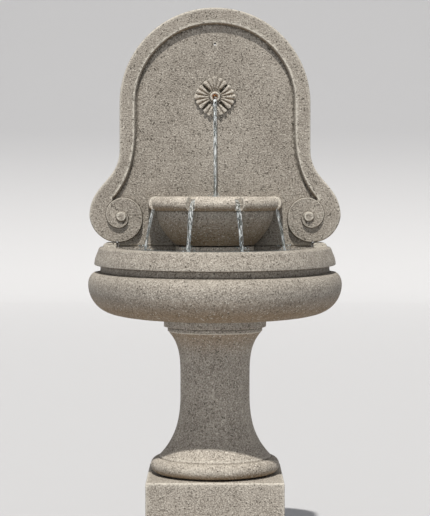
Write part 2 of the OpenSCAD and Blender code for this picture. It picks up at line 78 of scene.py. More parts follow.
# Thickness of the backplate at its recessed panel
PANEL_T = 51

# Repeats of the stone's patterns, in metres. Its sand is 0.5 to 1 mm, and is drawn at 3 to 5 mm
# so that it shows
CLOUD = 0.18
PATCH = 0.028
GRAIN = 0.0036
PIT = 0.005
SPECK = 0.0046

# Camera, in mm of focal length, metres from the wall and from the floor, and degrees of tilt
CAMERA_LENS = 129
CAMERA_BACK = 4.87
CAMERA_HEIGHT = 0.976
CAMERA_TILT = 2.17
SUN_WAY = (0.086, 1, -1.87)
FILL_PLACE = (-1.2, -5.2, 0.9)
FILL_WAY = (1.2, 5.2, -0.1)


# ---------------------------------------------------------------- colours and sizes
def linear(code):
    """Linear colour of an sRGB hex code."""
    parts = [int(code[i:i + 2], 16) / 255 for i in (1, 3, 5)]
    return tuple(c / 12.92 if c <= 0.04045 else ((c + 0.055) / 1.055) ** 2.4 for c in parts)


def colour(name, description, code):
    """A colour property with an sRGB default."""
    return FloatVectorProperty(name=name, description=description, subtype="COLOR", size=3,
                               min=0, max=1, default=linear(code))


def length(name, description, default, low, high):
    """A length property whose default and ends are given in mm."""
    return FloatProperty(name=name, description=description, default=default * MM, min=low * MM,
                         max=high * MM, precision=4, unit="LENGTH")


def size(key):
    """A length of the fountain's sizes, in mm."""
    return getattr(bpy.context.scene.fountain_sizes, key) / MM


class FountainSizes(bpy.types.PropertyGroup):
    plinth_round: length("Plinth edge", "Rounding of the plinth's edges", 5, 2, 12)
    plate_round: length("Backplate edge", "Rounding of the backplate's outer edge", 5, 2, 9)
    bevel: length("Border bevel", "Width of the bevel from border to panel", 6, 2, 12)
    wear: length("Wear", "Depth of the worn and wavy surface", 0.5, 0, 1.5)
    pool_level: length("Pool level", "Height of the water in the basin above the floor",
                       816, 790, 820)
    bowl_level: length("Bowl level", "Height of the water in the bowl above the floor",
                       947, 940, 952)
    stream_w: length("Stream width", "Width of each stream where it leaves the bowl",
                     13, 6, 16)
    throw: length("Stream throw", "How far out each stream lands from the rim", 22, 5, 40)
    drops: IntProperty(name="Drops", description="Droplets round each landing point",
                       default=20, min=0, max=40)


class FountainFinishes(bpy.types.PropertyGroup):
    stone_light: colour("Stone, light", "Lighter tone of the cast stone", "#B7B0A6")
    stone_dark: colour("Stone, dark", "Darker tone of the cast stone", "#777067")
    # Also the painted shade in hollows and slits
    stone_pit_and_shade: colour("Stone, pits", "Tone inside the pits", "#453F34")
    # Also the pale edges, partly painted highlight
    stone_speck_and_highlight: colour("Stone, specks", "Tone of the pale grains", "#D8D3C8")
    # Painted shade with a warm bounce tint, for faces that look down
    stone_underside_shade: colour("Stone, underside", "Tone of faces that look down", "#7F6238")
    water: colour("Water", "Tint of the water", "#C9D5DA")
    # Painted highlights in the falling water
    water_highlight_streak: colour("Water, streaks", "Tone of the streaks in falling water", "#F2F6F8")
    floor: colour("Floor", "Colour of the studio floor", "#BABBBE")
    sky: colour("Studio", "Colour of the light from all round", "#D2D2D3")


# ---------------------------------------------------------------- nodes and materials
def add_node(tree, kind, inputs=None, **settings):
    """Adds a node, sets its settings, and fills or links its inputs."""
    made = tree.nodes.new(kind)
    for key, value in settings.items():
        setattr(made, key, value)
    for key, value in (inputs or {}).items():
        if isinstance(value, bpy.types.NodeSocket):
            tree.links.new(value, made.inputs[key])
        else:
            made.inputs[key].default_value = value
    return made


def new_material(name, **shader):
    """A material with a Principled shader; returns it with its tree, shader and coordinates."""
    material = bpy.data.materials.new(name)
    material.use_nodes = True
    tree = material.node_tree
    surface = tree.nodes["Principled BSDF"]
    for key, value in shader.items():
        surface.inputs[key.replace("_", " ")].default_value = value
    place = add_node(tree, "ShaderNodeTexCoord").outputs["Object"]
    return material, tree, surface, place


def mottled(tree, place, scale, detail, rough):
    """Noise value at a scale given as repeats per metre."""
    made = add_node(tree, "ShaderNodeTexNoise", {
        "Vector": place, "Scale": scale, "Detail": detail, "Roughness": rough})
    return made.outputs["Fac"]


def ranged(tree, value, low, high, to_low, to_high):
    """Maps a value from one range to another, clamped."""
    made = add_node(tree, "ShaderNodeMapRange", {
        "Value": value, "From Min": low, "From Max": high, "To Min": to_low, "To Max": to_high})
    return made.outputs["Result"]


def blended(tree, fac, a, b):
    """Mixes two colours."""
    made = add_node(tree, "ShaderNodeMix", data_type="RGBA")
    for index, value in ((0, fac), (6, a), (7, b)):
        if isinstance(value, bpy.types.NodeSocket):
            tree.links.new(value, made.inputs[index])
        else:
            made.inputs[index].default_value = value
    return made.outputs[2]


def opaque(rgb, gain=1.0):
    """Adds an alpha of one to a colour, after scaling it."""
    return tuple(c * gain for c in rgb) + (1.0,)


def added(tree, kind, a, b):
    """Math on two values."""
    return add_node(tree, "ShaderNodeMath", {0: a, 1: b}, operation=kind).outputs[0]


def cast_stone(name, shift, gain=1.0):
    """Cast stone, wet-cast in a mould and sandblasted: a matt, sandy face with soft grey-brown
    clouds, small dark pits where air was trapped, and pale grains."""
    look = bpy.context.scene.fountain_finishes
    material, tree, surface, place = new_material(name)
    place = add_node(tree, "ShaderNodeMapping", {"Vector": place, "Location": shift})
    place = place.outputs["Vector"]
    cloud = mottled(tree, place, 1 / CLOUD, 3, 0.5)
    patch = mottled(tree, place, 1 / PATCH, 4, 0.6)
    grain = mottled(tree, place, 1 / GRAIN, 1, 0.6)
    pit = ranged(tree, mottled(tree, place, 1 / PIT, 2, 0.6), 0.38, 0.32, 0, 1)
    speck = ranged(tree, mottled(tree, place, 1 / SPECK, 1, 0.5), 0.62, 0.7, 0, 1)
    tone = added(tree, "MULTIPLY", cloud, 0.3)
    tone = added(tree, "ADD", tone, added(tree, "MULTIPLY", patch, 0.35))
    tone = added(tree, "ADD", tone, added(tree, "MULTIPLY", grain, 1.1))
    tone = ranged(tree, tone, 0.62, 1.1, 0, 1)
    # Edges are painted pale, partly rubbed wear and partly painted highlight, and hollows are
    # painted dark, partly dirt and partly painted shade
    ridge = add_node(tree, "ShaderNodeAttribute", attribute_name="ridge").outputs["Fac"]
    wear_and_highlight = ranged(tree, ridge, 0.02, 0.3, 0, 0.75)
    dirt_and_shade = added(tree, "ADD", ranged(tree, ridge, -0.02, -0.25, 0, 0.6),
                  ranged(tree, ridge, -0.5, -1, 0, 0.38))
    # Faces that look down are painted darker and warm brown: painted shade with a warm bounce tint
    facing = add_node(tree, "ShaderNodeNewGeometry").outputs["Normal"]
    facing = add_node(tree, "ShaderNodeSeparateXYZ", {"Vector": facing}).outputs["Z"]
    underside_shade = ranged(tree, facing, -0.15, -0.75, 0, 0.6)
    face = blended(tree, tone, opaque(look.stone_dark, gain), opaque(look.stone_light, gain))
    # Painted shade on faces that look down
    face = blended(tree, underside_shade, face, opaque(look.stone_underside_shade, gain))
    # Dark hollows: painted shade, partly dirt
    face = blended(tree, dirt_and_shade, face, opaque(look.stone_pit_and_shade, gain))
    # Pale edges: painted highlight, partly rubbed wear
    face = blended(tree, wear_and_highlight, face, opaque(look.stone_speck_and_highlight, gain))
    face = blended(tree, added(tree, "MULTIPLY", pit, 0.85), face, opaque(look.stone_pit_and_shade, gain))
    face = blended(tree, added(tree, "MULTIPLY", speck, 0.6), face,
                   opaque(look.stone_speck_and_highlight, gain))
    tree.links.new(face, surface.inputs["Base Color"])
    rough = ranged(tree, patch, 0.3, 0.7, 0.94, 0.82)
    tree.links.new(rough, surface.inputs["Roughness"])
    surface.inputs["Specular IOR Level"].default_value = 0.35
    relief = added(tree, "SUBTRACT", added(tree, "MULTIPLY", grain, 1.8), pit)
    bump = add_node(tree, "ShaderNodeBump", {"Height": relief, "Strength": 0.8,
                                             "Distance": 0.002})
    tree.links.new(bump.outputs["Normal"], surface.inputs["Normal"])
    return material


def speckled(name, code, code_two, scale, rough, bump=0.0004, **shader):
    """A finish of two close tones in a fine pattern, with a slight texture."""
    material, tree, surface, place = new_material(name, **shader)
    value = mottled(tree, place, scale, 4, 0.6)
    tone = ranged(tree, value, 0.35, 0.65, 0, 1)
    tree.links.new(blended(tree, tone, opaque(linear(code)), opaque(linear(code_two))),
                   surface.inputs["Base Color"])
    tree.links.new(ranged(tree, value, 0.3, 0.7, rough - 0.08, rough + 0.08),
                   surface.inputs["Roughness"])
    relief = add_node(tree, "ShaderNodeBump", {"Height": value, "Strength": 0.4,
                                               "Distance": bump})
    tree.links.new(relief.outputs["Normal"], surface.inputs["Normal"])
    return material


def brushed(name, code, code_two, rough, stretch):
    """Drawn or brushed metal: fine lines along one direction, and a soft highlight."""
    material, tree, surface, place = new_material(name, Metallic=1.0)
    place = add_node(tree, "ShaderNodeMapping", {"Vector": place, "Scale": stretch})
    value = mottled(tree, place.outputs["Vector"], 900, 3, 0.7)
    tree.links.new(blended(tree, value, opaque(linear(code)), opaque(linear(code_two))),
                   surface.inputs["Base Color"])
    tree.links.new(ranged(tree, value, 0.3, 0.7, rough - 0.07, rough + 0.09),
                   surface.inputs["Roughness"])
    relief = add_node(tree, "ShaderNodeBump", {"Height": value, "Strength": 0.25,
                                               "Distance": 0.0002})
    tree.links.new(relief.outputs["Normal"], surface.inputs["Normal"])
    return material


def still_water():
    """Clear water with small ripples: nearly no colour of its own, sharp reflections."""
    look = bpy.context.scene.fountain_finishes
    material, tree, surface, place = new_material("water_still", IOR=1.333, Roughness=0.03,
                                                  Alpha=0.34)
    ripple = mottled(tree, place, 1 / 0.03, 2, 0.5)
    tree.links.new(blended(tree, ripple, opaque(look.water, 0.28), opaque(look.water, 0.45)),
                   surface.inputs["Base Color"])
    relief = add_node(tree, "ShaderNodeBump", {"Height": ripple, "Strength": 0.6,
                                               "Distance": 0.003})
    tree.links.new(relief.outputs["Normal"], surface.inputs["Normal"])
    return material


def falling_water():
    """A falling stream: glassy, with dark and bright streaks drawn out along its length; the bright
    streaks are painted highlights.
    """
    look = bpy.context.scene.fountain_finishes
    material, tree, surface, place = new_material("water_falling", IOR=1.333, Roughness=0.05)
    place = add_node(tree, "ShaderNodeMapping", {"Vector": place, "Scale": (1, 1, 0.16)})
    streak = mottled(tree, place.outputs["Vector"], 1 / 0.0036, 3, 0.6)
    # Bright streaks: painted highlights, less clear where they show
    fac = ranged(tree, streak, 0.43, 0.58, 0, 1)
    tree.links.new(blended(tree, fac, opaque(look.water), opaque(look.water_highlight_streak)),
                   surface.inputs["Base Color"])
    tree.links.new(ranged(tree, streak, 0.46, 0.64, 1, 0.3),
                   surface.inputs["Transmission Weight"])
    relief = add_node(tree, "ShaderNodeBump", {"Height": streak, "Strength": 0.7,
                                               "Distance": 0.002})
    tree.links.new(relief.outputs["Normal"], surface.inputs["Normal"])
    return material


def finishes():
    """The materials of the fittings, made once."""
    if "black_rubber" in bpy.data.materials:
        return bpy.data.materials
    # Moulded EPDM rubber: black with a grey bloom, satin
    speckled("black_rubber", "#1E1E21", "#2B2B2E", 700, 0.62)
    # Moulded ABS with a fine spark-eroded texture, drawn at 1.2 mm so that it shows
    speckled("black_plastic", "#1C1E20", "#25282B", 850, 0.42)
    # Moulded acetal for the dial: mid grey, smoother than the housing
    speckled("grey_plastic", "#63686D", "#70757A", 800, 0.36)
    # Extruded PVC tube: dark, slightly glossy, faint cloudiness
    speckled("vinyl_hose", "#33383B", "#3E4447", 260, 0.24)
    # Fired alumina: off-white, semi-gloss, almost even
    speckled("white_ceramic", "#E6E4DD", "#F1EFE9", 500, 0.22)
    # Sintered ferrite: charcoal with a grainy, slightly metallic face
    speckled("ferrite", "#2A2A2D", "#3C3C40", 1200, 0.5, Metallic=0.35)
    # Half-hard stainless strip and pin, rolled: bright with lines along its length
    brushed("stainless_steel", "#A9ACAE", "#C9CCCD", 0.28, (1, 1, 0.05))
    # Punched silicon steel, varnished: dull grey
    brushed("core_steel", "#6E7174", "#8A8D8F", 0.42, (1, 0.05, 1))
    # Enamelled copper wire: orange-brown and glossy
    brushed("copper_winding", "#9C5A32", "#B8703F", 0.22, (0.1, 1, 1))
    # Drawn copper tube, turned nearly black by water and air
    brushed("copper_tube", "#17120F", "#271D17", 0.36, (1, 0.05, 1))
    # Turned brass, browned by hard water
    brushed("brass_fitting", "#3A2D1A", "#544125", 0.45, (1, 0.05, 1))
    return bpy.data.materials


# ---------------------------------------------------------------- mesh helpers
def from_wall(x, d, z):
    """Point arrays in metres from x, distance from the wall and height, in mm."""
    x, d, z = np.broadcast_arrays(x, d, z)
    return np.stack([x * MM, WALL_Y - d * MM, z * MM], axis=-1).astype(float)


def loft(rings, wrap=False):
    """Skins rings of points; the ends are capped, or joined to each other."""
    m, n, _ = rings.shape
    index = np.arange(m * n).reshape(m, n)
    lower = index if wrap else index[:-1]
    upper = np.roll(index, -1, axis=0) if wrap else index[1:]
    quads = np.stack([lower, np.roll(lower, -1, axis=1), np.roll(upper, -1, axis=1), upper], -1)
    faces = quads.reshape(-1, 4).tolist()
    if not wrap:
        faces += [index[0, ::-1].tolist(), index[-1].tolist()]
    return rings.reshape(-1, 3), faces


def closed_mesh(name, parts):
    """One mesh of several closed shells, doubles merged and faces turned outwards."""
    shells = bmesh.new()
    for points, faces in parts:
        shell = bmesh.new()
        verts = [shell.verts.new(p) for p in points]
        for face in faces:
            shell.faces.new([verts[i] for i in face])
        bmesh.ops.remove_doubles(shell, verts=shell.verts, dist=2e-6)
        bmesh.ops.dissolve_degenerate(shell, edges=shell.edges, dist=1e-6)
        bmesh.ops.recalc_face_normals(shell, faces=shell.faces)
        if shell.calc_volume(signed=True) < 0:
            bmesh.ops.reverse_faces(shell, faces=shell.faces)
        part = bpy.data.meshes.new(name)
        shell.to_mesh(part)
        shell.free()
        shells.from_mesh(part)
        bpy.data.meshes.remove(part)
    mesh = bpy.data.meshes.new(name)
    shells.to_mesh(mesh)
    shells.free()
    return mesh


def wear(mesh, depth):
    """Sinks the surface by up to depth metres in soft hollows, never outwards."""
    count = len(mesh.vertices)
    places = np.empty(count * 3)
    normals = np.empty(count * 3)
    mesh.vertices.foreach_get("co", places)
    mesh.vertex_normals.foreach_get("vector", normals)
    places = places.reshape(-1, 3)
    normals = normals.reshape(-1, 3)
    sink = np.array([0.65 * noise.noise(Vector(p) * 28) + 0.35 * noise.noise(Vector(p) * 140)
                     for p in places])
    sink = depth * np.clip(0.5 + 0.8 * sink, 0, 1)
    mesh.vertices.foreach_set("co", (places - normals * sink[:, None]).ravel())


def mark_ridges(mesh, gain, hollow):
    """Stores how far each point stands out from its neighbours, as the attribute ridge. Points
    less than hollow mm above the panel count as the bottom of a slit."""
    count = len(mesh.vertices)
    ends = np.empty(len(mesh.edges) * 2, int)
    mesh.edges.foreach_get("vertices", ends)
    ends = ends.reshape(-1, 2)
    places = np.empty(count * 3)
    normals = np.empty(count * 3)
    mesh.vertices.foreach_get("co", places)
    mesh.vertex_normals.foreach_get("vector", normals)
    places = places.reshape(-1, 3)
    normals = normals.reshape(-1, 3)
    total = np.zeros(count)
    uses = np.zeros(count)
    for here, there in (ends.T, ends.T[::-1]):
        step = places[there] - places[here]
        gap = np.maximum(np.linalg.norm(step, axis=1), 1e-9)
        np.add.at(total, here, -(step * normals[here]).sum(1) / gap)
        np.add.at(uses, here, 1)
    value = gain * total / np.maximum(uses, 1)
    # Slit bottoms take the lowest value, which the stone material paints dark: painted shade in the
    # slits
    if hollow:
        value[WALL_Y - places[:, 1] < (PANEL_T + hollow) * MM] = -1
    # The flat rear face has points only at its edge, so it takes no pale edges of wear and painted
    # highlight
    value[places[:, 1] > WALL_Y - 0.3 * MM] = 0
    ridge = mesh.attributes.new("ridge", "FLOAT", "POINT")
    ridge.data.foreach_set("value", value)


def shown(name, mesh, material, smooth=38):
    """Puts a mesh in the scene at the origin, smooth except at sharp edges."""
    mesh.name = name
    mesh.materials.clear()
    mesh.materials.append(material)
    mesh.shade_smooth()
    mesh.set_sharp_from_angle(angle=math.radians(smooth))
    obj = bpy.data.objects.new(name, mesh)
    bpy.context.scene.collection.objects.link(obj)
    return obj


def stone_piece(name, parts, material, node, cutters=(), relief=1.0, hollow=0.0):
    """A worn stone piece that stands for its CAD node."""
    mesh = closed_mesh(name, parts)
    if cutters:
        mesh = cut_out(mesh, cutters)
    # The ridge attribute drives the stone material's pale edges and dark hollows: partly wear and
    # dirt, partly painted highlight and shade
    mark_ridges(mesh, relief, hollow)
    wear(mesh, size("wear") * MM)
    obj = shown(name, mesh, material)
    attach(obj, "root")
    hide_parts(node)
    return obj


def cut_out(mesh, cutters):
    """The mesh with closed cutters taken out of it, one after another."""
    for cutter in cutters:
        body = bpy.data.objects.new("cut_body", mesh)
        tool = bpy.data.objects.new("cut_tool", closed_mesh("cut_tool", [cutter]))
        for item in (body, tool):
            bpy.context.scene.collection.objects.link(item)
        change = body.modifiers.new("cut", "BOOLEAN")
        change.operation = "DIFFERENCE"
        change.solver = "EXACT"
        change.object = tool
        mesh = bpy.data.meshes.new_from_object(
            body.evaluated_get(bpy.context.evaluated_depsgraph_get()))
        for item in (body, tool):
            bpy.data.objects.remove(item)
        if not mesh.polygons:
            raise ValueError("a cutter left nothing of the piece")
    return mesh


def rod(x, z, radius, d0, d1):
    """Closed cylinder that points from the wall to the room."""
    turn = np.linspace(0, 2 * math.pi, 32, endpoint=False)
    return loft(np.stack([from_wall(x + radius * np.cos(turn), d, z + radius * np.sin(turn))
                          for d in (d0, d1)]))


def post(x, d, radius, z0, z1):
    """Closed upright cylinder."""
    turn = np.linspace(0, 2 * math.pi, 32, endpoint=False)
    return loft(np.stack([from_wall(x + radius * np.cos(turn), d + radius * np.sin(turn), z)
                          for z in (z0, z1)]))


def slab(x0, x1, d0, d1, z0, z1):
    """Closed box."""
    xs = np.array([x0, x1, x1, x0])
    ds = np.array([d0, d0, d1, d1])
    return loft(np.stack([from_wall(xs, ds, z) for z in (z0, z1)]))


def arc(cx, cz, rx, rz, a0, a1, n):
    """Points on an oval arc, angles in degrees."""
    turn = np.radians(np.linspace(a0, a1, n))
    return np.stack([cx + rx * np.cos(turn), cz + rz * np.sin(turn)], -1)


def resample(points, count):
    """The same polyline with evenly spaced points."""
    points = np.asarray(points, float)
    run = np.concatenate([[0], np.cumsum(np.linalg.norm(np.diff(points, axis=0), axis=1))])
    at = np.linspace(0, run[-1], count)
    return np.stack([np.interp(at, run, points[:, k]) for k in (0, 1)], -1)


# ---------------------------------------------------------------- plinth and pedestal
def square_ring(half, corner, per_side=36):
    """Rounded square outline centred on the origin, in mm."""
    corner = min(corner, half * 0.9)
    corners = [arc(sx * (half - corner), sy * (half - corner), corner, corner, a, a + 90, 7)
               for sx, sy, a in ((1, 1, 0), (-1, 1, 90), (-1, -1, 180), (1, -1, 270))]
    sides = []
    for here, after in zip(corners, corners[1:] + corners[:1]):
        sides.append(here)
        step = np.linspace(0, 1, per_side)[1:-1, None]
        sides.append(here[-1] + (after[0] - here[-1]) * step)
    return np.concatenate(sides)


def make_plinth(material):
    """Hollow square block with softened edges."""
    half = (PLINTH_HIGH.x - PLINTH_LOW.x) / 2 / MM
    high = PLINTH_HIGH.z / MM
    soft = size("plinth_round")
    wall = 34
    inner = half - wall
    edge = arc(half - soft, soft, soft, soft, -90, 0, 6)
    top_edge = arc(half - soft, high - soft, soft, soft, 0, 90, 6)
    walls = [(inner, z) for z in np.linspace(high - wall, 0, 8)]
    walls += [tuple(p) for p in edge]
    walls += [(half, z) for z in np.linspace(soft, high - soft, 24)[1:-1]]
    walls += [tuple(p) for p in top_edge]
    walls += [(h, high) for h in np.linspace(half - soft, 12, 16)[1:]]
    rings = []
    for reach, z in walls:
        ring = square_ring(reach, max(soft - (half - reach), 0.6) if reach > inner + 1 else 6)
        rings.append(from_wall(ring[:, 0], PEDESTAL_D + ring[:, 1], z))
    # The stronger relief brightens the plinth's edges: partly painted highlight
    return stone_piece("plinth_stone", [loft(np.stack(rings))], material, "plinth",
                       relief=2.5)


def pedestal_profile():
    """Radius and height of the pedestal's face from its bore round to its bore, in mm."""
    high = (PEDESTAL_HIGH.z - PEDESTAL_LOW.z) / MM
    bore, roll, roll_c, foot, waist, waist_z = 55, 19.5, 144.5, 142, 88.3, 223
    fillet, fillet_h, cap, cap_h, soft = 120.6, 10, 130.4, 23, 4
    foot_z = 2 * roll + 4
    top = high - cap_h - fillet_h
    z = np.linspace(foot_z, top, 70)
    low = waist + (foot - waist) * np.clip((waist_z - z) / (waist_z - foot_z), 0, 1) ** 3.2
    neck = low + (fillet - waist) * np.clip((z - waist_z) / (top - waist_z), 0, 1) ** 4
    flat = np.linspace(bore, roll_c, 10)[:-1]
    lid = np.linspace(cap - soft, bore, 8)[1:]
    return np.concatenate([
        np.stack([flat, 0 * flat], -1),
        arc(roll_c, roll, roll, roll, -90, 84, 34),
        arc(foot + 3, 2 * roll + 1.2, 2.4, 1.6, -90, -180, 3),
        np.stack([neck, z], -1),
        arc(fillet - 1.5, top + 1.5, 1.5, 1.5, -45, 0, 3),
        [[fillet, top + 5], [fillet, top + fillet_h - 0.6]],
        arc(cap - 1.5, top + fillet_h + 1.5, 1.5, 1.5, -90, 0, 4),
        np.stack([np.full(5, cap), np.linspace(top + fillet_h + 2, high - soft, 5)], -1),
        arc(cap - soft, high - soft, soft, soft, 10, 90, 6),
        np.stack([lid, 0 * lid + high], -1),
        [[bore, z] for z in np.linspace(high, 0, 12)[1:-1]],
    ])


def make_pedestal(material):
    """Turned baluster with a torus foot and a flared neck."""
    turn = np.linspace(0, 2 * math.pi, 200, endpoint=False)
    rings = [from_wall(r * np.cos(turn), PEDESTAL_D + r * np.sin(turn), PEDESTAL_LOW.z / MM + z)
             for r, z in pedestal_profile()]
    return stone_piece("pedestal_stone", [loft(np.stack(rings), wrap=True)], material,
                       "pedestal")


# ---------------------------------------------------------------- basin
BASIN_W = (BASIN_HIGH.x - BASIN_LOW.x) / 2 / MM
BASIN_D = (BASIN_HIGH.y - BASIN_LOW.y) / MM
BASIN_H = 172
RIM_IN = 27
RIM_W = 42
BACK_WALL = 62
FLOOR_H = 40


def oval_plan(angle, off):
    """Point on the half-oval plan at an angle, moved out by off; x and distance from the wall."""
    nx = np.cos(angle) / BASIN_W
    nd = np.sin(angle) / BASIN_D
    slope = np.hypot(nx, nd)
    return BASIN_W * np.cos(angle) + off * nx / slope, BASIN_D * np.sin(angle) + off * nd / slope


def oval_ring(off, z, back=0.0, front_n=232, back_n=56):
    """Closed ring: the half oval moved out by off, with a straight back."""
    trial = np.linspace(0, math.pi / 2, 400)
    start = np.interp(back, oval_plan(trial, off)[1], trial) if back else 0.0
    x, d = oval_plan(np.linspace(start, math.pi - start, front_n), off)
    x = np.concatenate([x, np.linspace(x[-1], x[0], back_n)[1:-1]])
    d = np.concatenate([d, np.full(back_n - 2, back)])
    return from_wall(x, d, z)


def basin_outline():
    """Moulded face of the basin, from its underside to its rim: offset and height in mm."""
    return np.concatenate([
        arc(-73, 75, 73, 75, -90, 0, 30),
        arc(-22, 75, 22, 32, 6, 84, 14),
        [[-25, 107.6], [-31, 108.6], [-32, 112], [-32.4, 117], [-32, 122], [-31, 125.6],
         [-22, 126.2]],
        arc(-18, 128.2, 2, 2, -90, 0, 4),
        [[-16.6, 134], [-18.4, 143], [-21.6, 152], [-25.2, 160]],
        arc(-RIM_IN - 8, BASIN_H - 8, 8, 8, 12, 90, 8),
    ])


def basin_inside():
    """Inner face from the rim down to the floor: offset and height in mm."""
    edge = -RIM_IN - RIM_W
    return np.concatenate([
        arc(edge + 4, BASIN_H - 4, 4, 4, 90, 172, 6),
        arc(edge - 70, FLOOR_H + 60, 58, 60, 0, -90, 16),
    ])


def make_basin(material):
    """Half-oval basin with a bulging belly, a groove, a fascia and a flat rim."""
    rings = [oval_ring(off, BASIN_Z + z) for off, z in basin_outline()]
    for step in (0.25, 0.5, 0.75):
        rings.append(oval_ring(-RIM_IN - 8 - (RIM_W - 12) * step, BASIN_Z + BASIN_H,
                               BACK_WALL * step))
    rings += [oval_ring(off, BASIN_Z + z, BACK_WALL) for off, z in basin_inside()]
    body = loft(np.stack(rings))
    profile = np.array([[256, -3], [292, -3], [292, 4], [290, 7.5], [286, 10.5], [281, 12],
                        [262, 12], [258, 11], [256, 8]])
    ear_x = (profile[:, 0].min() + profile[:, 0].max()) / 2
    ears = []
    for side in (1, -1):
        ears.append(loft(np.stack([
            from_wall(side * (ear_x + (profile[:, 0] - ear_x) * k), d,
                      BASIN_Z + BASIN_H + (profile[:, 1] + 3) * k - 3)
            for d, k in ((0.6, 1), (20, 1), (40, 1), (60, 1), (64.5, 0.97), (66, 0.9))])))
    # Seats of the cord plug and the drain
    holes = [post(-22, 196, 14, BASIN_Z - 2, BASIN_Z + FLOOR_H + 6),
             post(22, 196, 16, BASIN_Z - 2, BASIN_Z + FLOOR_H + 6)]
    mesh = cut_out(closed_mesh("basin_body", [body]), holes)
    body_points = [tuple(v.co) for v in mesh.vertices]
    body_faces = [list(p.vertices) for p in mesh.polygons]
    return stone_piece("basin_stone", [(body_points, body_faces)] + ears, material, "basin")


# ---------------------------------------------------------------- backplate
ARCH_Z = 370
ARCH_R = (BACK_HIGH.z - BACK_LOW.z) / MM - ARCH_Z
BORDER_RAISE = 14
BORDER_W = 44
EYE = (243, 77)
# Radius of the scroll's spiral at each quarter turn, from its outer side inwards
SCROLL = (84, 67, 55, 50, 41, 30, 17, 14.5, 15.5, 14)


def spiral_radius(q):
    """Radius of the scroll's spiral after q quarter turns."""
    return np.interp(q, range(len(SCROLL)), SCROLL)


def whorl_lift(q):
    """How far the scroll's band has climbed above the border after q quarter turns, in mm."""
    return np.interp(q, (0, 1, 2.6, 4, 6, 9), (0, 0, 3.5, 8, 9.5, 12))


def spiral(q0, q1, n):
    """Points of the scroll's spiral between two quarter turns."""
    q = np.linspace(q0, q1, n)
    r = spiral_radius(q)
    turn = -q * math.pi / 2
    return np.stack([EYE[0] + r * np.cos(turn), EYE[1] + r * np.sin(turn)], -1)


def bezier(p0, p1, p2, p3, n):
    """Points of a cubic curve."""
    t = np.linspace(0, 1, n)[:, None]
    s = 1 - t
    p0, p1, p2, p3 = (np.array(p, float) for p in (p0, p1, p2, p3))
    return s ** 3 * p0 + 3 * s * s * t * p1 + 3 * s * t * t * p2 + t ** 3 * p3


def both_sides(half):
    """A closed outline from its right half, listed from the bottom up."""
    return np.concatenate([half, half[::-1] * (-1, 1)])


def plate_outline():
    """Outer outline of the backplate: x and height above its bottom, in mm."""
    outer = EYE[0] + SCROLL[0]
    half = np.concatenate([
        [[253, 0], [253, EYE[1] - SCROLL[1] + 1]],
        spiral(0.84, 0, 24),
        bezier((outer, EYE[1]), (outer, EYE[1] + 84), (ARCH_R, 170), (ARCH_R, 250), 60)[1:],
        arc(0, ARCH_Z, ARCH_R, ARCH_R, 0, 90, 130)[:-1],
    ])
    return both_sides(half)


def panel_outline():
    """Outline of the recessed panel."""
    inner = ARCH_R - BORDER_W
    half = np.concatenate([
        [[262, -40], [262, 123]],
        bezier((262, 123), (206, 185), (inner, 265), (inner, 325), 40)[1:],
        arc(0, ARCH_Z, inner, inner, 0, 90, 110)[:-1],
    ])
    return both_sides(half)


def depth_inside(points, outline):
    """Signed distance of each point inside a closed outline; negative outside."""
    a = outline
    b = np.roll(outline, -1, axis=0)
    ab = b - a
    squared = np.maximum((ab ** 2).sum(1), 1e-12)
    result = np.empty(len(points))
    for start in range(0, len(points), 1500):
        p = points[start:start + 1500, None, :]
        t = np.clip(((p - a) * ab).sum(2) / squared, 0, 1)
        far = np.linalg.norm(p - a - t[..., None] * ab, axis=2).min(1)
        above = (a[:, 1] > p[..., 1]) != (b[:, 1] > p[..., 1])
        rise = np.where(above, b[:, 1] - a[:, 1], 1)
        cross = a[:, 0] + (p[..., 1] - a[:, 1]) * ab[:, 0] / rise
        odd = ((above & (p[..., 0] < cross)).sum(1) % 2).astype(bool)
        result[start:start + 1500] = np.where(odd, far, -far)
    return result


def ease(value):
    """Smooth step from 0 to 1."""
    value = np.clip(value, 0, 1)
    return value * value * (3 - 2 * value)


def plate_front(points):
    """Distance of the backplate's face from the wall at each point, in mm."""
    edge_round = size("plate_round")
    folded = np.abs(points) * (1, 0) + points * (0, 1)
    border = -depth_inside(folded, panel_outline())
    raised = ease(border / size("bevel"))
    scroll = ease(depth_inside(folded, spiral(0, 4, 90)) / 2.4)
    face = PANEL_T + BORDER_RAISE * np.maximum(raised, scroll)
    across = folded - EYE
    centre = np.hypot(*across.T)
    turn = -np.degrees(np.arctan2(across[:, 1], across[:, 0])) / 90 % 4
    inside = ease(depth_inside(folded, spiral(0, 4, 90)) / 2.4)
    lift = whorl_lift(turn)
    for whorl in (4, 8):
        edge = ease((spiral_radius(turn + whorl) - centre) / 2.6)
        lift = lift + (whorl_lift(turn + whorl) - lift) * edge
    face += inside * lift + 2.5 * ease((13.5 - centre) / 3)
    edge = np.clip(edge_round - depth_inside(points, plate_outline()), 0, edge_round)
    return face - edge_round + np.sqrt(edge_round ** 2 - edge ** 2)


def inset(outline, step, by):
    """Points every step mm round a closed outline, moved inwards by a distance."""
    closed = np.concatenate([outline, outline[:1]])
    count = int(np.linalg.norm(np.diff(closed, axis=0), axis=1).sum() / step)
    line = resample(closed, count)[:-1]
    along = np.roll(line, -1, axis=0) - np.roll(line, 1, axis=0)
    along /= np.maximum(np.linalg.norm(along, axis=1, keepdims=True), 1e-9)
    moved = line + by * np.stack([-along[:, 1], along[:, 0]], -1)
    return moved[depth_inside(moved, outline) > by * 0.8] if by > 0 else moved


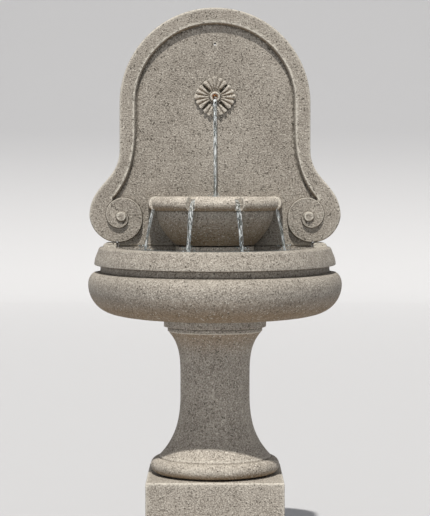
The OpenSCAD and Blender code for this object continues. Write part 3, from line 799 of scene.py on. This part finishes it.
def plate_mesh_points():
    """Sample points of the backplate's face, closest where it steps."""
    outline = plate_outline()
    sets = [inset(outline, 4, by) for by in (0.5, 1.4, 2.8, 5)]
    panel = panel_outline()
    bevel = size("bevel")
    sets += [inset(panel, 4, 0)]
    for by in (0.33, 0.66, 1.0):
        along = inset(panel, 4, 0)
        tangent = np.roll(along, -1, axis=0) - np.roll(along, 1, axis=0)
        tangent /= np.maximum(np.linalg.norm(tangent, axis=1, keepdims=True), 1e-9)
        sets.append(along + bevel * by * np.stack([tangent[:, 1], -tangent[:, 0]], -1))
    line = resample(spiral(0, 9, 600), 420) - EYE
    for sunk in (-0.8, 0, 0.8, 1.6, 2.4, 3.2):
        moved = EYE + line * (1 - sunk / np.linalg.norm(line, axis=1, keepdims=True))
        sets += [moved, moved * (-1, 1)]
    for radius in (14, 13, 12, 11, 6):
        ring = arc(*EYE, radius, radius, 0, 360, 40)[:-1]
        sets += [ring, ring * (-1, 1)]
    across, up = np.meshgrid(np.arange(-330, 331, 9.0), np.arange(3, 620, 9.0))
    across[1::2] += 4.5
    sets.append(np.stack([across.ravel(), up.ravel()], -1))
    points = np.concatenate(sets)
    return points[depth_inside(points, outline) > 0.3]


def make_backplate(material):
    """Arched slab with a raised border that ends in a scroll at each side."""
    closed = plate_outline()
    closed = np.concatenate([closed, closed[:1]])
    count = int(np.linalg.norm(np.diff(closed, axis=0), axis=1).sum() / 3)
    corners = resample(closed, count)[:-1]
    inner = plate_mesh_points()
    points = np.concatenate([corners, inner])
    edge_loop = list(range(len(corners)))
    verts, _, tris, *_ = delaunay_2d_cdt([Vector(p) for p in points], [], [edge_loop], 1, 0.35)
    flat = np.array([tuple(v) for v in verts])
    face = from_wall(flat[:, 0], plate_front(flat), BACK_Z + flat[:, 1])
    shell = bmesh.new()
    made = [shell.verts.new(p) for p in face]
    for tri in tris:
        shell.faces.new([made[i] for i in tri])
    rim = [e for e in shell.edges if len(e.link_faces) == 1]
    for share in (0.5, 0.0):
        out = bmesh.ops.extrude_edge_only(shell, edges=rim)["geom"]
        rim = [g for g in out if isinstance(g, bmesh.types.BMEdge)]
        moved = {v for e in rim for v in e.verts}
        for v in moved:
            v.co.y = WALL_Y - (WALL_Y - v.co.y) * share
    bmesh.ops.triangle_fill(shell, edges=rim, use_beauty=False)
    mesh = bpy.data.meshes.new("backplate_shell")
    shell.to_mesh(mesh)
    shell.free()
    part = ([tuple(v.co) for v in mesh.vertices], [list(p.vertices) for p in mesh.polygons])
    channel = slab(-30, 30, -5, 32, BACK_Z - 5, BACK_Z + 439)
    hose_notch = slab(-8.7, 8.7, -6, 60, BACK_Z - 6, BACK_Z + 49)
    spout_hole = rod(0, SPOUT_Z, 6.5, 20, 70)
    fixing_hole = rod(0, BACK_Z + 525, 3.5, -5, 70)
    cutters = [channel, hose_notch, spout_hole, fixing_hole]
    # Stone-coloured pointing closes the joint below the plate, in front of its setting strip,
    # and the slots between the plate's foot and the basin's ears
    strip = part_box("backplate_shims")
    front = (WALL_Y - strip[0].y) / MM
    half = strip[1].x / MM
    low = strip[0].z / MM + 0.1
    joint = [slab(-half, half, front + 0.2, PANEL_T - 1.2, low, strip[1].z / MM - 0.1)]
    slot_w = 2.4
    for x in (-253.3 - slot_w, 253.3):
        joint.append(slab(x, x + slot_w, 38, PANEL_T - 1.2, low, low + 11.5))
    pointing = shown("backplate_pointing", closed_mesh("joint", joint), material)
    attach(pointing, "root")
    return stone_piece("backplate_stone", [part], material, "backplate", cutters, relief=1.6)


# ---------------------------------------------------------------- rosette
LEAF_R = 54
LEAF_BASE = 13.6
# Degrees from a leaf's middle to each lobe's tip, and how much shorter the lobe is
LOBES = ((0, 0), (18, 3), (34, 5))


def leaf_edge(u):
    """Outline radius of a leaf at u degrees from its middle: five pointed lobes."""
    drop = [short + 0.05 * (np.abs(u) - at) ** 2 for at, short in LOBES]
    return LEAF_R - np.minimum.reduce(drop)


def make_rosette(material):
    """Four leaves of five lobes round a raised ring, with slits between the leaves."""
    turn = np.linspace(0, 360, 720, endpoint=False)
    u = turn - 90 * np.round(turn / 90)
    edge = leaf_edge(u)
    rings = [(6.7, -1.0)]
    rings += [(10.1 + 3.4 * math.cos(a), 12.6 + 3.4 * math.sin(a))
              for a in np.radians(np.linspace(180, -20, 14))]
    heights, radii = [], []
    for r, h in rings:
        radii.append(np.full_like(turn, r))
        heights.append(np.full_like(turn, h))
    for f in np.concatenate([np.linspace(0.04, 0.9, 26), [0.94, 0.97, 0.99, 1.0]]):
        r = LEAF_BASE + (edge - LEAF_BASE) * f
        # Side lobes bend outwards: near the ring they lie closer to the leaf's middle
        bent = np.abs(u) * (1 + 0.3 * (1 - f) ** 1.5)
        lobe = np.where(bent < 9, bent / 9, np.where(bent < 26, (bent - 17.5) / 8.5,
                                                     (bent - 35.5) / 9.5))
        crown = 1 - np.minimum(lobe ** 2, 1) * (bent < 44)
        h = 4.4 + 4.8 * crown * min(1, 2.2 * f) + 1.0 * f
        h -= 1.6 * (1 - f) * np.exp(-((f - 0.15) / 0.15) ** 2)
        h -= 1.4 * max(0, (f - 0.9) / 0.1) ** 2
        side = np.abs(r * np.sin(np.radians(np.abs(u) - 45)))
        along = r * np.cos(np.radians(np.abs(u) - 45))
        width = 3.6 - 1.8 * np.clip((along - 18) / 30, 0, 1)
        slit = ease((width + 0.5 - side) / 1.0) * ease((along - 17) / 2) * ease((50 - along) / 2)
        radii.append(r)
        heights.append(np.clip(h, 0, 9.9) * (1 - slit) + 0.6 * slit)
    for r, h in ((edge, 3.0), (edge, -1.0)):
        radii.append(r)
        heights.append(np.full_like(turn, h))
    rings = [from_wall(r * np.cos(np.radians(turn)), PANEL_T + h,
                       SPOUT_Z + r * np.sin(np.radians(turn)))
             for r, h in zip(radii, heights)]
    # Slit bottoms and creases are painted dark: painted shade
    return stone_piece("rosette_stone", [loft(np.stack(rings), wrap=True)], material, "rosette",
                       relief=2.2, hollow=3.6)


# ---------------------------------------------------------------- bowl
BOWL_R = (BOWL_HIGH.x - BOWL_LOW.x) / 2 / MM
BOWL_H = (BOWL_HIGH.z - BOWL_LOW.z) / MM
ROLL_R = 18.5
BODY_R = BOWL_R - 23
RISER_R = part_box("bowl_riser")[1].x / MM
BODY_H = BOWL_H - 2 * ROLL_R
NOTCHES = (-72, -21, 21, 72)
NOTCH_W = 18
# Power by which the side swells from the flat underside to the rim
SWELL = 1.9
# Where the streams leave the lip of a notch
LIP_R = BODY_R + 15.5


def half_round_ring(radius, z, angle, back):
    """Ring of a half-round plan with a straight rear stretch; radius may vary with angle."""
    radius = np.broadcast_to(radius, angle.shape)
    z = np.broadcast_to(z, angle.shape)
    x = radius * np.sin(angle)
    d = BOWL_D + radius * np.cos(angle)
    steps = np.linspace(0, 1, 8)[1:]
    rear_x = np.concatenate([np.full(7, x[-1]), np.linspace(x[-1], x[0], 40)[1:-1],
                             np.full(7, x[0])])
    rear_d = np.concatenate([BOWL_D + (back - BOWL_D) * steps, np.full(38, back),
                             BOWL_D + (back - BOWL_D) * steps[::-1]])
    rear_z = np.concatenate([np.full(7, z[-1]), np.linspace(z[-1], z[0], 40)[1:-1],
                             np.full(7, z[0])])
    return from_wall(np.concatenate([x, rear_x]), np.concatenate([d, rear_d]),
                     BOWL_Z + np.concatenate([z, rear_z]))


def make_bowl(material):
    """Half-round spill bowl with a rolled rim, cut by four spillways."""
    angle = np.radians(np.linspace(-90, 90, 560))
    open_here = np.zeros_like(angle)
    for notch in NOTCHES:
        turn = angle - math.radians(notch)
        side = np.where(np.cos(turn) > 0, np.abs(BOWL_R * np.sin(turn)), BOWL_R)
        open_here = np.maximum(open_here, ease((NOTCH_W / 2 + 3 - side) / 3.4))
    share = np.linspace(0, 1, 34)[1:]
    side = np.stack([RISER_R + (BODY_R - RISER_R) * (1 - (1 - share) ** SWELL), BODY_H * share], -1)
    foot = [[r, 0] for r in (30, 60, 85, RISER_R - 3)] + [[RISER_R - 0.8, 0.5]]
    body = np.concatenate([foot, side])
    roll = arc(BOWL_R - ROLL_R, BOWL_H - ROLL_R, ROLL_R, ROLL_R, -78, 165, 44)
    spill = resample([roll[0], (BODY_R + 13, 90.5), (BODY_R + 15, 91.6), (BODY_R + 6, 96),
                      (BODY_R + 1, 108), (BODY_R - 2, 113), (BODY_R - 8, 114.6),
                      (BOWL_R - 44, BOWL_H - 10.5)], 44)
    swing = np.radians(np.linspace(6, 90, 22))
    inside = np.stack([(BOWL_R - 37.5) * np.cos(swing) ** 0.7,
                       38 + (BOWL_H - 16 - 38) * (1 - np.sin(swing) ** 0.9)], -1)
    back = PANEL_T + 0.5
    rings = [half_round_ring(r, z, angle, back) for r, z in body]
    for j, (kept, gone) in enumerate(zip(roll, spill)):
        radius = kept[0] + (gone[0] - kept[0]) * open_here
        z = kept[1] + (gone[1] - kept[1]) * open_here
        share = ease((j - 30) / 13)
        rings.append(half_round_ring(radius, z, angle, back + (BOWL_D - 1 - back) * share))
    rings += [half_round_ring(r, z, angle, BOWL_D - 1) for r, z in inside[:-1]]
    return stone_piece("bowl_stone", [loft(np.stack(rings))], material, "bowl")


# ---------------------------------------------------------------- geometry nodes
def new_tree(name, sockets):
    """A geometry tree with a geometry input and output and these named inputs."""
    tree = bpy.data.node_groups.new(name, "GeometryNodeTree")
    tree.interface.new_socket("Geometry", in_out="INPUT", socket_type="NodeSocketGeometry")
    for label, kind in sockets.items():
        tree.interface.new_socket(label, in_out="INPUT", socket_type="NodeSocket" + kind)
    tree.interface.new_socket("Geometry", in_out="OUTPUT", socket_type="NodeSocketGeometry")
    return tree, add_node(tree, "NodeGroupInput").outputs


def close_tree(tree, geometry, material):
    """Ends a tree in Realize Instances and Set Material."""
    real = add_node(tree, "GeometryNodeRealizeInstances", {"Geometry": geometry})
    named = add_node(tree, "GeometryNodeSetMaterial", {"Geometry": real.outputs[0],
                                                       "Material": material})
    add_node(tree, "NodeGroupOutput", {"Geometry": named.outputs[0]})


def grown(name, source, tree, values):
    """Plain mesh that a geometry tree makes from a source curve or mesh."""
    base = bpy.data.objects.new(name + "_source", source)
    bpy.context.scene.collection.objects.link(base)
    change = base.modifiers.new("grow", "NODES")
    change.node_group = tree
    inputs = {item.name: item.identifier for item in tree.interface.items_tree
              if item.in_out == "INPUT"}
    for key, value in values.items():
        change[inputs[key]] = value
    mesh = bpy.data.meshes.new_from_object(
        base.evaluated_get(bpy.context.evaluated_depsgraph_get()))
    bpy.data.objects.remove(base)
    mesh.name = name
    return mesh


def stream_tree(material):
    """A stream along a curve: a flat oval section that narrows as it falls, with a ragged face."""
    tree, given = new_tree("stream", {"Width": "Float", "Thickness": "Float", "End share": "Float",
                                      "Wobble": "Float"})
    line = add_node(tree, "GeometryNodeResampleCurve", {"Curve": given["Geometry"], "Count": 90})
    along = add_node(tree, "GeometryNodeSplineParameter").outputs["Factor"]
    shrink = add_node(tree, "ShaderNodeMapRange", {"Value": along, "From Min": 0.15,
                                                   "To Min": 1.0, "To Max": given["End share"]})
    circle = add_node(tree, "GeometryNodeCurvePrimitiveCircle", {"Resolution": 18, "Radius": 0.5})
    oval = add_node(tree, "ShaderNodeCombineXYZ", {"X": given["Width"], "Y": given["Thickness"],
                                                   "Z": 1.0})
    section = add_node(tree, "GeometryNodeTransform", {"Geometry": circle.outputs["Curve"],
                                                       "Scale": oval.outputs[0]})
    tube = add_node(tree, "GeometryNodeCurveToMesh", {
        "Curve": line.outputs[0], "Profile Curve": section.outputs[0],
        "Scale": shrink.outputs["Result"], "Fill Caps": True})
    where = add_node(tree, "GeometryNodeInputPosition").outputs[0]
    drawn = add_node(tree, "ShaderNodeVectorMath", {0: where, 1: (170.0, 170.0, 34.0)},
                     operation="MULTIPLY")
    rough = add_node(tree, "ShaderNodeTexNoise", {"Vector": drawn.outputs[0], "Scale": 1.0,
                                                  "Detail": 1.0})
    middle = add_node(tree, "ShaderNodeVectorMath", {0: rough.outputs["Color"],
                                                     1: (0.5, 0.5, 0.5)}, operation="SUBTRACT")
    push = add_node(tree, "ShaderNodeVectorMath", {0: middle.outputs[0], "Scale": given["Wobble"]},
                    operation="SCALE")
    moved = add_node(tree, "GeometryNodeSetPosition", {"Geometry": tube.outputs[0],
                                                       "Offset": push.outputs[0]})
    close_tree(tree, moved.outputs[0], material)
    return tree


def drops_tree(material):
    """Droplets thrown up round each landing point."""
    tree, given = new_tree("drops", {"Count": "Int", "Spread": "Float", "Height": "Float",
                                     "Largest": "Float", "Seed": "Int"})
    row = add_node(tree, "GeometryNodeMeshLine", {"Count": given["Count"],
                                                  "Offset": (0.0, 0.0, 0.0)})
    groups = add_node(tree, "GeometryNodeInstanceOnPoints", {"Points": given["Geometry"],
                                                             "Instance": row.outputs[0]})
    loose = add_node(tree, "GeometryNodeRealizeInstances", {"Geometry": groups.outputs[0]})
    back = add_node(tree, "ShaderNodeMath", {0: given["Spread"], 1: -1.0}, operation="MULTIPLY")
    low = add_node(tree, "ShaderNodeCombineXYZ", {"X": back.outputs[0], "Y": back.outputs[0]})
    high = add_node(tree, "ShaderNodeCombineXYZ", {"X": given["Spread"], "Y": given["Spread"],
                                                   "Z": given["Height"]})
    throw = add_node(tree, "FunctionNodeRandomValue", {
        0: low.outputs[0], 1: high.outputs[0], "Seed": given["Seed"]}, data_type="FLOAT_VECTOR")
    spread = add_node(tree, "GeometryNodeSetPosition", {"Geometry": loose.outputs[0],
                                                        "Offset": throw.outputs[0]})
    ball = add_node(tree, "GeometryNodeMeshIcoSphere", {"Radius": 1.0, "Subdivisions": 2})
    least = add_node(tree, "ShaderNodeMath", {0: given["Largest"], 1: 0.35}, operation="MULTIPLY")
    ball_size = add_node(tree, "FunctionNodeRandomValue", {
        2: least.outputs[0], 3: given["Largest"], "Seed": given["Seed"]}, data_type="FLOAT")
    balls = add_node(tree, "GeometryNodeInstanceOnPoints", {
        "Points": spread.outputs[0], "Instance": ball.outputs[0], "Scale": ball_size.outputs[1]})
    close_tree(tree, balls.outputs[0], material)
    return tree


# ---------------------------------------------------------------- water
def landings():
    """Where the streams from the bowl meet the pool: x and distance from the wall, in mm."""
    reach = LIP_R + size("throw")
    turn = np.radians(NOTCHES)
    return np.stack([reach * np.sin(turn), BOWL_D + reach * np.cos(turn)], -1)


# Where the jet from the spout meets the water in the bowl
JET_LANDS = (0.0, 104.0)


def ripples(points, centres, height, wave, reach):
    """Raises a water face in rings round the landing points; all in metres."""
    lift = np.zeros(points.shape[:-1])
    for x, d in centres:
        far = np.hypot(points[..., 0] - x * MM, points[..., 1] - (WALL_Y - d * MM))
        lift += np.exp(-far / reach) * np.cos(2 * math.pi * far / wave)
    points = points.copy()
    points[..., 2] += height * lift
    return points


def water_face(ring, middle, centres, count, height, wave, reach):
    """Rings of a water face from its edge to its middle, with ripples."""
    share = np.linspace(1, 0.015, count)[:, None, None]
    face = middle + (ring - middle) * share
    rippled = ripples(face, centres, height, wave, reach)
    calm = ease((1 - share) * 30)
    return face + (rippled - face) * calm


def water_piece(name, mesh, material):
    """A water piece that rides on the body."""
    obj = shown(name, mesh, material, 60)
    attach(obj, "root")
    return obj


def make_pools(material):
    """Water standing in the basin and in the bowl."""
    inside = basin_inside()[::-1]
    level = size("pool_level") - BASIN_Z
    heights = np.concatenate([[FLOOR_H + 0.6, FLOOR_H + 3], np.linspace(FLOOR_H + 8, level, 16)])
    offs = np.interp(heights, inside[:, 1], inside[:, 0]) + 1
    sides = np.stack([oval_ring(off, BASIN_Z + z, BACK_WALL - 1)
                      for off, z in zip(offs, heights)])
    middle = from_wall(0, BOWL_D + 90, size("pool_level"))
    face = water_face(sides[-1], middle, landings(), count=90, height=0.0011, wave=0.017,
                      reach=0.07)
    pool = closed_mesh("water_pool", [loft(np.concatenate([sides, face[1:]]))])
    water_piece("water_pool", pool, material)
    level = size("bowl_level") - BOWL_Z
    angle = np.radians(np.linspace(-90, 90, 160))
    radius = np.interp(level, [40, 60, 80, 100, 119], [30, 122, 133, 138, 142.5])
    heights = np.array([level - 12, level - 6, level])
    sides = np.stack([half_round_ring(radius - (level - z) * 0.25, z, angle, BOWL_D - 2)
                      for z in heights])
    middle = from_wall(0, BOWL_D + 45, size("bowl_level"))
    face = water_face(sides[-1], middle, [JET_LANDS], count=70, height=0.0012, wave=0.014,
                      reach=0.05)
    pool = closed_mesh("water_bowl", [loft(np.concatenate([sides, face[1:]]))])
    water_piece("water_bowl", pool, material)


def path_curve(name, points):
    """A smooth curve through points in metres."""
    curve = bpy.data.curves.new(name, "CURVE")
    curve.dimensions = "3D"
    spline = curve.splines.new("POLY")
    spline.points.add(len(points) - 1)
    for place, point in zip(spline.points, points):
        place.co = (*point, 1)
    return curve


def fall(r0, z0, r1, z1, n=26):
    """Path of falling water: outwards at an even speed, down ever faster."""
    share = np.linspace(0, 1, n)
    return np.stack([r0 + (r1 - r0) * share ** 0.8, z0 + (z1 - z0) * share], -1)


def make_streams(material):
    """The jet from the spout, and the four streams that run through the notches."""
    tree = stream_tree(material)
    lip = np.array([[150, 113.5], [154, 110.5], [158, 104], [161, 97.5], [164.5, 93.5],
                    [LIP_R - 0.4, 90]])
    lip[:, 1] += BOWL_Z
    run = np.concatenate([lip, fall(LIP_R, BOWL_Z + 87, LIP_R + size("throw"),
                                    size("pool_level") - 6)])
    run = np.stack([np.interp(np.linspace(0, 1, 70), np.linspace(0, 1, len(run)), run[:, k])
                    for k in (0, 1)], -1)
    for number, notch in enumerate(NOTCHES, 1):
        turn = math.radians(notch)
        path = from_wall(run[:, 0] * math.sin(turn), BOWL_D + run[:, 0] * math.cos(turn),
                         run[:, 1])
        name = "water_stream_%d" % number
        mesh = grown(name, path_curve(name, path), tree, {
            "Width": size("stream_w") * MM, "Thickness": 0.0085, "End share": 0.72,
            "Wobble": 0.0026})
        water_piece(name, mesh, material)
    start = PANEL_T + 12
    jet = np.concatenate([[[start - 8, SPOUT_Z - 2.4], [start, SPOUT_Z - 2.6],
                           [start + 6, SPOUT_Z - 4.5], [start + 10, SPOUT_Z - 11]],
                          fall(start + 12, SPOUT_Z - 20, JET_LANDS[1], size("bowl_level") - 5)])
    path = from_wall(0 * jet[:, 0], jet[:, 0], jet[:, 1])
    mesh = grown("water_jet", path_curve("water_jet", path), tree, {
        "Width": 0.0092, "Thickness": 0.0078, "End share": 0.72, "Wobble": 0.0016})
    water_piece("water_jet", mesh, material)


def make_drops(material):
    """Droplets where the streams and the jet land."""
    count = bpy.context.scene.fountain_sizes.drops
    tree = drops_tree(material)
    jobs = (("water_drops_pool", landings(), size("pool_level"), 3),
            ("water_drops_bowl", np.array([JET_LANDS]), size("bowl_level"), 8))
    for name, places, level, seed in jobs:
        mesh = bpy.data.meshes.new(name)
        mesh.from_pydata(from_wall(places[:, 0], places[:, 1], level).tolist(), [], [])
        mesh = grown(name, mesh, tree, {"Count": count, "Spread": 0.018, "Height": 0.015,
                                        "Largest": 0.002, "Seed": seed})
        water_piece(name, mesh, material)


# ---------------------------------------------------------------- operators
class FOUNTAIN_OT_stage(bpy.types.Operator):
    """Camera, lights and floor"""
    bl_idname = "fountain.stage"
    bl_label = "Stage"

    def execute(self, context):
        look = context.scene.fountain_finishes
        camera = bpy.data.objects.new("camera", bpy.data.cameras.new("camera"))
        camera.data.lens = CAMERA_LENS
        camera.location = (0, WALL_Y - CAMERA_BACK, CAMERA_HEIGHT)
        camera.rotation_euler = (math.radians(90 - CAMERA_TILT), 0, 0)
        sun = bpy.data.objects.new("key", bpy.data.lights.new("key", "SUN"))
        sun.data.energy = 3.9
        sun.data.angle = math.radians(1)
        sun.data.color = linear("#FFFBF4")
        sun.rotation_euler = Vector(SUN_WAY).to_track_quat("-Z", "Y").to_euler()
        fill = bpy.data.objects.new("fill", bpy.data.lights.new("fill", "AREA"))
        fill.data.energy = 42
        fill.data.size = 3
        fill.location = FILL_PLACE
        fill.rotation_euler = Vector(FILL_WAY).to_track_quat("-Z", "Y").to_euler()
        for item in (camera, sun, fill):
            context.scene.collection.objects.link(item)
        context.scene.camera = camera
        world = bpy.data.worlds.new("studio")
        world.use_nodes = True
        world.node_tree.nodes["Background"].inputs["Color"].default_value = opaque(look.sky)
        world.node_tree.nodes["Background"].inputs["Strength"].default_value = 0.6
        context.scene.world = world
        context.scene.view_settings.view_transform = "Standard"
        # Round floor that curves up into a backdrop, far out round the fountain
        profile = np.concatenate([[[0.02, 0], [6, 0]], arc(11, 1.5, 1.5, 1.5, -90, 0, 12),
                                  [[12.5, 9]]])
        turn = np.linspace(0, 2 * math.pi, 72, endpoint=False)
        rows = [np.stack([r * np.cos(turn), r * np.sin(turn), 0 * turn + z], -1)
                for r, z in profile]
        points, faces = loft(np.stack(rows))
        mesh = bpy.data.meshes.new("floor")
        mesh.from_pydata(points.tolist(), [], faces[:-1])
        mesh.shade_smooth()
        floor = bpy.data.objects.new("floor", mesh)
        context.scene.collection.objects.link(floor)
        material, _, surface, _ = new_material("floor_paint", Roughness=0.9)
        surface.inputs["Base Color"].default_value = opaque(look.floor)
        mesh.materials.append(material)
        return {"FINISHED"}


class FOUNTAIN_OT_plinth(bpy.types.Operator):
    """Square stone plinth"""
    bl_idname = "fountain.plinth"
    bl_label = "Plinth"

    def execute(self, context):
        make_plinth(cast_stone("cast_stone_plinth", (0.3, 0.1, 0.7)))
        return {"FINISHED"}


class FOUNTAIN_OT_pedestal(bpy.types.Operator):
    """Turned stone pedestal"""
    bl_idname = "fountain.pedestal"
    bl_label = "Pedestal"

    def execute(self, context):
        make_pedestal(cast_stone("cast_stone_pedestal", (1.3, 0.4, 0.2), gain=1.12))
        return {"FINISHED"}


class FOUNTAIN_OT_basin(bpy.types.Operator):
    """Half-oval stone basin"""
    bl_idname = "fountain.basin"
    bl_label = "Basin"

    def execute(self, context):
        make_basin(cast_stone("cast_stone_basin", (2.1, 0.9, 1.2), gain=0.96))
        return {"FINISHED"}


class FOUNTAIN_OT_backplate(bpy.types.Operator):
    """Arched stone backplate with scrolls"""
    bl_idname = "fountain.backplate"
    bl_label = "Backplate"

    def execute(self, context):
        make_backplate(cast_stone("cast_stone_backplate", (0.7, 2.2, 0.4), gain=0.94))
        return {"FINISHED"}


class FOUNTAIN_OT_rosette(bpy.types.Operator):
    """Leaf rosette round the spout"""
    bl_idname = "fountain.rosette"
    bl_label = "Rosette"

    def execute(self, context):
        make_rosette(cast_stone("cast_stone_rosette", (1.7, 1.2, 2.4), gain=1.08))
        return {"FINISHED"}


class FOUNTAIN_OT_bowl(bpy.types.Operator):
    """Spill bowl and its riser"""
    bl_idname = "fountain.bowl"
    bl_label = "Spill bowl"

    def execute(self, context):
        # The bowl and its riser use lighter copies of the stone: painted light standing for light
        # thrown up from the water into their shade
        make_bowl(cast_stone("cast_stone_bowl_painted_light", (0.2, 1.8, 3.1), gain=1.3))
        set_finish("bowl_riser", cast_stone("cast_stone_riser_painted_light", (2.9, 0.3, 0.6), gain=1.9))
        return {"FINISHED"}


def set_finish(node, material):
    """Gives a carried-over CAD node its material."""
    obj = frame["nodes"][node]
    if not obj.material_slots:
        obj.data.materials.append(material)
    for place in obj.material_slots:
        place.material = material


class FOUNTAIN_OT_water(bpy.types.Operator):
    """Pools, streams, jet and droplets"""
    bl_idname = "fountain.water"
    bl_label = "Water"

    def execute(self, context):
        make_pools(still_water())
        falling = falling_water()
        make_streams(falling)
        make_drops(falling)
        return {"FINISHED"}


class FOUNTAIN_OT_fittings(bpy.types.Operator):
    """Finishes of the shims, pins, plugs, spout, hose and pump"""
    bl_idname = "fountain.fittings"
    bl_label = "Fittings"

    def execute(self, context):
        made = finishes()
        slots = {s["node"]: s["material_slot"] for s in frame["record"]["subparts"]}
        for node in frame["nodes"]:
            if slots[node] != "cast_stone":
                set_finish(node, made[slots[node]])
        return {"FINISHED"}


STEPS = (FOUNTAIN_OT_stage, FOUNTAIN_OT_plinth, FOUNTAIN_OT_pedestal, FOUNTAIN_OT_basin,
         FOUNTAIN_OT_backplate, FOUNTAIN_OT_rosette, FOUNTAIN_OT_bowl, FOUNTAIN_OT_water,
         FOUNTAIN_OT_fittings)


class FOUNTAIN_PT_panel(bpy.types.Panel):
    """Sizes, finishes and steps of the fountain"""
    bl_idname = "FOUNTAIN_PT_panel"
    bl_label = "Wall Fountain"
    bl_space_type = "VIEW_3D"
    bl_region_type = "UI"
    bl_category = "Fountain"

    def draw(self, context):
        for step in STEPS:
            self.layout.operator(step.bl_idname)
        for group in (context.scene.fountain_sizes, context.scene.fountain_finishes):
            for key in group.__annotations__:
                self.layout.prop(group, key)


CLASSES = (FountainSizes, FountainFinishes) + STEPS + (FOUNTAIN_PT_panel,)


def register():
    for item in CLASSES:
        bpy.utils.register_class(item)
    bpy.types.Scene.fountain_sizes = PointerProperty(type=FountainSizes)
    bpy.types.Scene.fountain_finishes = PointerProperty(type=FountainFinishes)


def unregister():
    del bpy.types.Scene.fountain_finishes
    del bpy.types.Scene.fountain_sizes
    for item in reversed(CLASSES):
        bpy.utils.unregister_class(item)


def main():
    """Builds everything."""
    register()
    for step in STEPS:
        group, name = step.bl_idname.split(".")
        getattr(getattr(bpy.ops, group), name)()


if __name__ == "__main__":
    main()
